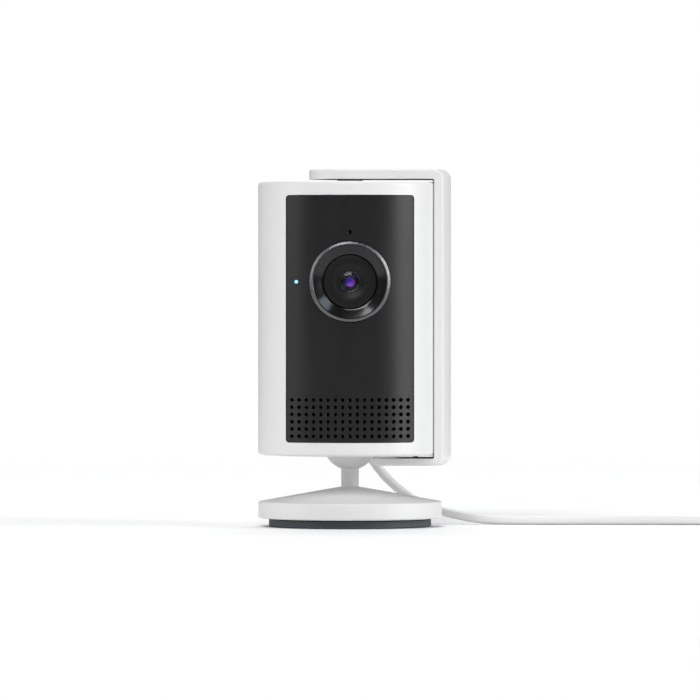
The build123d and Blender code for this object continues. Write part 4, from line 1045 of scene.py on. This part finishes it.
    def make_plug_metal(self) -> list[bpy.types.Object]:
        """Make the plug's open metal shell with its windows, its tongue and its four contacts."""
        low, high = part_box("usb_a_shell")
        wall = 0.35 * MM
        shell = rounded_box("power_plug_shell", low, high, 0.25 * MM, 3)
        with editing(shell):
            pick(shell, "faces", lambda face: face.normal.y < -0.99)
            bpy.ops.mesh.inset(thickness=wall * 0.6)
            bpy.ops.mesh.extrude_region_move(
                TRANSFORM_OT_translate={"value": (0.0, high.y - low.y - 1.0 * MM, 0.0)})
        middle = (low + high) / 2
        windows = []
        for side in (-1, 1):
            deselect()
            bpy.ops.mesh.primitive_cube_add(size=1.0, location=(middle.x + side * 2.9 * MM, low.y + 5.2 * MM,
                                                               middle.z), scale=(2.2 * MM, 2.4 * MM, 0.01))
            windows.append(settle(named("window")))
        for window in windows:
            apply_modifier(shell, "BOOLEAN", object=window, operation="DIFFERENCE", solver="EXACT")
            bpy.data.objects.remove(window)
        settle(shell)
        self.fit(shell, BRIGHT_METAL, "bright_metal", "bright_metal", "usb_a_shell")
        tongue_low = Vector((low.x + 0.5 * MM, low.y + 0.6 * MM, middle.z + 0.15 * MM))
        tongue_high = Vector((high.x - 0.5 * MM, high.y - 0.8 * MM, high.z - wall))
        tongue = rounded_box("power_plug_tongue", tongue_low, tongue_high, 0.15 * MM, 2)
        self.fit(tongue, BLACK_PLASTIC, "black_plastic", "black_plastic")
        deselect()
        bpy.ops.mesh.primitive_cube_add(size=1.0, location=(middle.x - 3.5 * MM, low.y + 4.6 * MM, tongue_low.z),
                                        scale=(1.2 * MM, 7.0 * MM, 0.16 * MM))
        contacts = settle(named("power_plug_contacts"))
        apply_modifier(contacts, "BEVEL", width=0.06 * MM, segments=2)
        apply_modifier(contacts, "ARRAY", count=4, use_relative_offset=False, use_constant_offset=True,
                       constant_offset_displace=(7.0 * MM / 3, 0.0, 0.0))
        settle(contacts)
        self.fit(contacts, GOLD, "gold", "bright_metal")
        for piece in (shell, tongue, contacts):
            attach(piece, "base")
        return [shell, tongue, contacts]


@dataclass
class Base(SubAssembly):
    """The round base with its weight, floor and screws, and the bracket and pad under it."""

    def build(self) -> None:
        """Dress its pieces."""
        self.dress_nodes(WHITE_SHELL, "white_shell", "base_shell", "stem")
        self.dress_nodes(GREY_PLASTIC, "grey_plastic", "base_floor")
        self.dress_nodes(GREY_RUBBER, "grey_rubber", "rubber_foot", "mount_bracket")
        self.dress_nodes(STEEL, "steel", "base_weight", "base_screws", "ball_screw")


@dataclass
class BallJoint(SubAssembly):
    """The ball, the socket that turns on it and the cap that holds the socket."""

    def build(self) -> None:
        """Dress its pieces."""
        self.dress_nodes(WHITE_SHELL, "white_shell", "ball")
        self.dress_nodes(GREY_PLASTIC, "grey_plastic", "socket_liner", "socket_cup", "socket_retainer")
        self.dress_nodes(STEEL, "steel", "spring_washer", "retainer_screws")


@dataclass
class Housing(SubAssembly):
    """The head's two shells, the screws that join them and the reset button."""

    def build(self) -> None:
        """Dress its pieces."""
        self.dress_nodes(WHITE_SHELL, "white_shell", "front_housing", "rear_cover")
        self.dress_nodes(STEEL, "steel", "housing_screws")
        self.dress_nodes(GREY_PLASTIC, "grey_plastic", "reset_button")


@dataclass
class Face(SubAssembly):
    """The black face with its grille, microphone hole and status light."""

    thickness: float = 2.0 * MM
    sink: float = 0.15 * MM
    gap: float = 0.1 * MM
    corner: float = 0.8 * MM
    edge_round: float = 0.12 * MM
    strips: int = 68
    rows: int = 34
    lens_hole_r: float = 10.8 * MM
    lens_hole_flare: float = 0.05 * MM
    grille_columns: int = 17
    grille_rows: int = 6
    grille_pitch: float = 1.92 * MM
    grille_above: float = 6.55 * MM
    hole_r: float = 0.47 * MM
    rim_r: float = 0.6 * MM
    mic_r: float = 0.45 * MM
    led_r: float = 0.45 * MM

    def build(self) -> None:
        """Make the face and dress what is behind it."""
        lens = self.centre("lens_barrel")
        face = self.make_plate(lens)
        self.fit(face, BLACK_FACE, "black_face", "black_face", "faceplate")
        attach(face, "head")
        self.dress_nodes(ACOUSTIC_MESH, "acoustic_mesh", "speaker_mesh")
        self.dress_nodes(BLACK_PLASTIC, "black_plastic", "speaker_driver", "mic_seal")
        light = self.centre("light_pipe")
        self.dress_nodes(Glowing(tuple(light)), "lit_pipe", "light_pipe")
        self.dress_nodes(CLEAR_PLASTIC, "clear_plastic", "ir_leds", "status_led")
        self.dress_nodes(BLACK_BOARD, "black_board", "ir_led_board", "microphone")

    def make_plate(self, lens: Vector) -> bpy.types.Object:
        """Cut the holes in a flat plate, then curve it to the body.

        Args:
            lens: A point on the lens axis.
        Returns:
            The plate.
        """
        low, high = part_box("light_pipe")
        light = (low + high) / 2
        body_low, body_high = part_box("front_housing")
        radius = body_high.x - self.sink
        half = 17.0 * MM - self.gap
        bottom = body_low.z + 3.65 * MM + self.gap
        top = body_high.z - 3.65 * MM - self.gap
        deselect()
        bpy.ops.mesh.primitive_cube_add(size=1.0, location=(0.0, self.thickness / 2, (bottom + top) / 2),
                                        scale=(2 * half, self.thickness, top - bottom))
        plate = settle(named("face_plate"))
        with editing(plate):
            pick(plate, "edges", lambda edge: abs((edge.verts[0].co - edge.verts[1].co).y) > self.thickness / 2)
            bpy.ops.mesh.bevel(offset=self.corner, segments=6)
            pick(plate, "edges", lambda edge: all(vertex.co.y < self.thickness / 4 for vertex in edge.verts))
            bpy.ops.mesh.bevel(offset=self.edge_round, segments=3)
            for strip in range(1, self.strips):
                bpy.ops.mesh.select_all(action="SELECT")
                x = -half + 2 * half * strip / self.strips
                bpy.ops.mesh.bisect(plane_co=(x, 0.0, 0.0), plane_no=(1.0, 0.0, 0.0))
            for row in range(1, self.rows):
                bpy.ops.mesh.select_all(action="SELECT")
                z = bottom + (top - bottom) * row / self.rows
                bpy.ops.mesh.bisect(plane_co=(0.0, 0.0, z), plane_no=(0.0, 0.0, 1.0))
        cutters = [self.hole_cutter(lens.x, lens.z, self.lens_hole_r,
                                    self.lens_hole_r + self.lens_hole_flare, 96)]
        cutters.append(self.hole_cutter(0.0, self.centre("mic_seal").z, self.mic_r, self.mic_r + 0.12 * MM, 20))
        cutters.append(self.hole_cutter(light.x, light.z, self.led_r, self.led_r + 0.06 * MM, 20))
        first_x = -(self.grille_columns - 1) / 2 * self.grille_pitch
        middle_z = bottom - self.gap + self.grille_above
        for row in range(self.grille_rows):
            z = middle_z + (row - (self.grille_rows - 1) / 2) * self.grille_pitch
            for column in range(self.grille_columns):
                cutters.append(self.hole_cutter(first_x + column * self.grille_pitch, z, self.hole_r,
                                                self.rim_r, 16))
        deselect()
        for cutter in cutters:
            cutter.select_set(True)
        bpy.context.view_layer.objects.active = cutters[0]
        bpy.ops.object.join()
        cutter = bpy.context.object
        apply_modifier(plate, "BOOLEAN", object=cutter, operation="DIFFERENCE", solver="EXACT")
        bpy.data.objects.remove(cutter)
        for vertex in plate.data.vertices:
            vertex.co.y -= math.sqrt(radius ** 2 - vertex.co.x ** 2)
        return settle(plate, 25.0)

    def hole_cutter(self, x: float, z: float, radius: float, rim: float, sides: int) -> bpy.types.Object:
        """Make the shape of one hole: a straight bore that flares at the face.

        Args:
            x: Its middle.
            z: Its middle.
            radius: The bore's radius.
            rim: The radius at the face.
            sides: How many faces go round.
        Returns:
            The cutter.
        """
        flare = rim - radius
        return turned("hole", [(radius, self.thickness * 1.5), (radius, flare), (rim, 0.0),
                               (rim + flare, -flare)], (x, 0.0, z), sides, closed=False)


@dataclass
class Lens(SubAssembly):
    """The bright ring, the glossy funnel, the barrel with its steps and the glass."""

    steps: int = 128
    cut_depth: float = 0.007 * MM
    lip_follows: float = 0.72

    def build(self) -> None:
        """Make its visible rings and glass, and dress what is behind them."""
        self.axis = self.centre("lens_barrel")
        self.make_ring()
        self.make_bezel()
        self.make_barrel()
        self.make_glass()
        self.dress_nodes(BLACK_PLASTIC, "black_plastic", "lens_holder")
        self.dress_nodes(CoatedGlass((0.6, 0.75, 0.8)), "filter_glass", "ir_filter", "rear_lens")
        self.dress_nodes(CHIP_EPOXY, "chip_epoxy", "image_sensor")

    def turn(self, name: str, profile: Sequence[tuple[float, float]], steps: int = 0) -> bpy.types.Object:
        """Turn an outline in millimetres about the lens axis."""
        return turned(name, [(r * MM, y * MM) for r, y in profile], tuple(self.axis), steps or self.steps)

    def make_ring(self) -> None:
        """Make the bright ring, with diamond cuts over its sloped lip."""
        low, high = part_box("lens_trim_ring")
        back, crest = high.y / MM, low.y / MM
        outer = (high.x - low.x) / 2 / MM
        steps = 360
        ring = self.turn("lens_ring", [
            (outer - 0.95, back), (outer, back), (outer, crest + 0.36), (outer - 0.05, crest + 0.3),
            (outer - 0.24, crest + 0.2), (outer - 0.42, crest + 0.12), (outer - 0.6, crest + 0.05),
            (outer - 0.74, crest), (outer - 0.88, crest + 0.01), (outer - 0.95, crest + 0.08)], steps)
        face_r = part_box("front_housing")[1].x - 0.15 * MM
        rise = face_r - math.sqrt(face_r ** 2 - (outer * MM) ** 2)
        for vertex in ring.data.vertices:
            x, z = vertex.co.x - self.axis.x, vertex.co.z - self.axis.z
            out = math.hypot(x, z) / MM
            band = [row for row, cut in enumerate((0.24, 0.42, 0.6)) if abs(out - outer + cut) < 0.04]
            if band:
                turn = round(math.atan2(z, x) / (2 * math.pi) * steps)
                vertex.co.y += (self.cut_depth if (turn + band[0]) % 2 else -self.cut_depth)
            if vertex.co.y < (crest + 0.5) * MM:
                fall = face_r - math.sqrt(face_r ** 2 - x ** 2)
                vertex.co.y -= self.lip_follows * (rise - fall)
        settle(ring, 40.0)
        self.fit(ring, Knurled((0.15, 0.153, 0.158), tuple(self.axis)), "cut_metal", "bright_metal", "lens_trim_ring")
        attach(ring, "head")

    def make_bezel(self) -> None:
        """Make the glossy funnel between the ring and the barrel."""
        low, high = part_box("lens_bezel")
        front, back = low.y / MM, high.y / MM
        outer = (high.x - low.x) / 2 / MM
        bezel = self.turn("lens_funnel", [
            (7.25, back), (outer, back), (outer, front), (outer - 0.12, front - 0.01), (9.2, front + 0.22),
            (8.8, front + 0.42), (8.3, front + 0.68), (7.85, front + 0.93), (7.5, front + 1.12),
            (7.32, front + 1.19), (7.25, front + 1.3)])
        self.fit(bezel, GLOSS_BLACK, "gloss_black", "black_plastic", "lens_bezel")
        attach(bezel, "head")

    def make_barrel(self) -> None:
        """Make the barrel: a flat rim, then a cone with light-trapping steps."""
        low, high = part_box("lens_barrel")
        front, back = low.y / MM, high.y / MM
        profile = [(4.1, back), (5.0, back), (5.0, front + 2.9), (7.0, front + 2.9), (7.0, front + 0.12),
                   (6.94, front + 0.03), (6.85, front), (4.3, front), (4.18, front + 0.05)]
        for step in range(6):
            radius = 4.1 - step * 0.22
            depth = front + 0.1 + step * 0.15
            profile += [(radius, depth), (radius - 0.02, depth + 0.1)]
        profile += [(2.8, front + 1.02), (2.75, front + 1.2), (2.75, front + 4.0), (4.1, front + 4.0)]
        barrel = self.turn("lens_tube", profile)
        self.fit(barrel, BLACK_PLASTIC, "black_plastic", "black_plastic", "lens_barrel")
        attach(barrel, "head")
        ring = self.turn("lens_retaining_ring", [
            (2.74, front + 1.35), (2.74, front + 0.99), (2.66, front + 0.93), (2.56, front + 1.0),
            (2.56, front + 1.35)], 96)
        self.fit(ring, BRIGHT_METAL, "bright_metal", "bright_metal")
        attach(ring, "head")

    def make_glass(self) -> None:
        """Make the domed front lens and the coated lens behind it."""
        low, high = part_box("front_lens")
        front, back = low.y / MM, high.y / MM
        radius = 2.55
        bulge = 7.0
        sag = bulge - math.sqrt(bulge ** 2 - radius ** 2)
        dome = [(bulge * math.sin(a), front + bulge * (1 - math.cos(a)))
                for a in [math.asin(radius / bulge) * step / 12 for step in range(12, 0, -1)]]
        glass = self.turn("front_glass", [(1.2, front + 2.0), (radius - 0.3, front + 1.9), (radius, front + sag + 0.3),
                                          *dome, (0.0, front)], 64)
        close_up(glass)
        with editing(glass):
            bpy.ops.mesh.select_all(action="SELECT")
            bpy.ops.mesh.fill_holes(sides=0)
            bpy.ops.mesh.normals_make_consistent(inside=False)
        settle(glass, 40.0)
        self.fit(glass, CoatedGlass(), "lens_glass", "lens_glass", "front_lens")
        inner = self.turn("coated_lens", [(2.5, back + 0.6), (2.5, back), (1.9, back - 0.35), (1.3, back - 0.6),
                                          (0.7, back - 0.73), (0.0, back - 0.78)], 64)
        with editing(inner):
            bpy.ops.mesh.select_all(action="SELECT")
            bpy.ops.mesh.fill_holes(sides=0)
            bpy.ops.mesh.normals_make_consistent(inside=False)
        settle(inner, 40.0)
        # The coated lens gets the violet coating with a painted glint disc.
        self.fit(inner, LensCoatingPaintedGlint(tuple(self.axis)), "violet_coating_painted_glint", "lens_glass")
        for piece in (glass, inner):
            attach(piece, "head")


@dataclass
class Electronics(SubAssembly):
    """The chassis and boards inside the head."""

    def build(self) -> None:
        """Dress its pieces."""
        self.dress_nodes(GREY_PLASTIC, "grey_plastic", "chassis")
        self.dress_nodes(GREEN_BOARD, "green_board", "main_board", "power_board")
        self.dress_nodes(BLACK_BOARD, "black_board", "sensor_board", "sensor_flex", "wifi_antenna")
        self.dress_nodes(STEEL, "steel", "board_screws", "shield_can")
        self.dress_nodes(BRIGHT_METAL, "bright_metal", "usb_port")
        self.dress_nodes(CHIP_EPOXY, "chip_epoxy", "processor", "reset_switch")


@dataclass
class PrivacyCover(SubAssembly):
    """The cover that swings round the head, and its pivot and magnet."""

    def build(self) -> None:
        """Dress its pieces."""
        self.dress_nodes(WHITE_SHELL, "white_shell", "privacy_cover")
        self.dress_nodes(STEEL, "steel", "pivot_screw", "pivot_washer", "cover_magnet")


def main() -> None:
    """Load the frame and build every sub-assembly in order."""
    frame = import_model()
    wardrobe = Wardrobe()
    Studio().build()
    for kind in (Cable, Base, BallJoint, Housing, Face, Lens, Electronics, PrivacyCover):
        part = kind(frame, wardrobe)
        part.build()
        LOG.info("%s done, %d new pieces", kind.__name__, len(part.made))


if __name__ == "__main__":
    logging.basicConfig(level=logging.INFO, format="%(message)s")
    main()
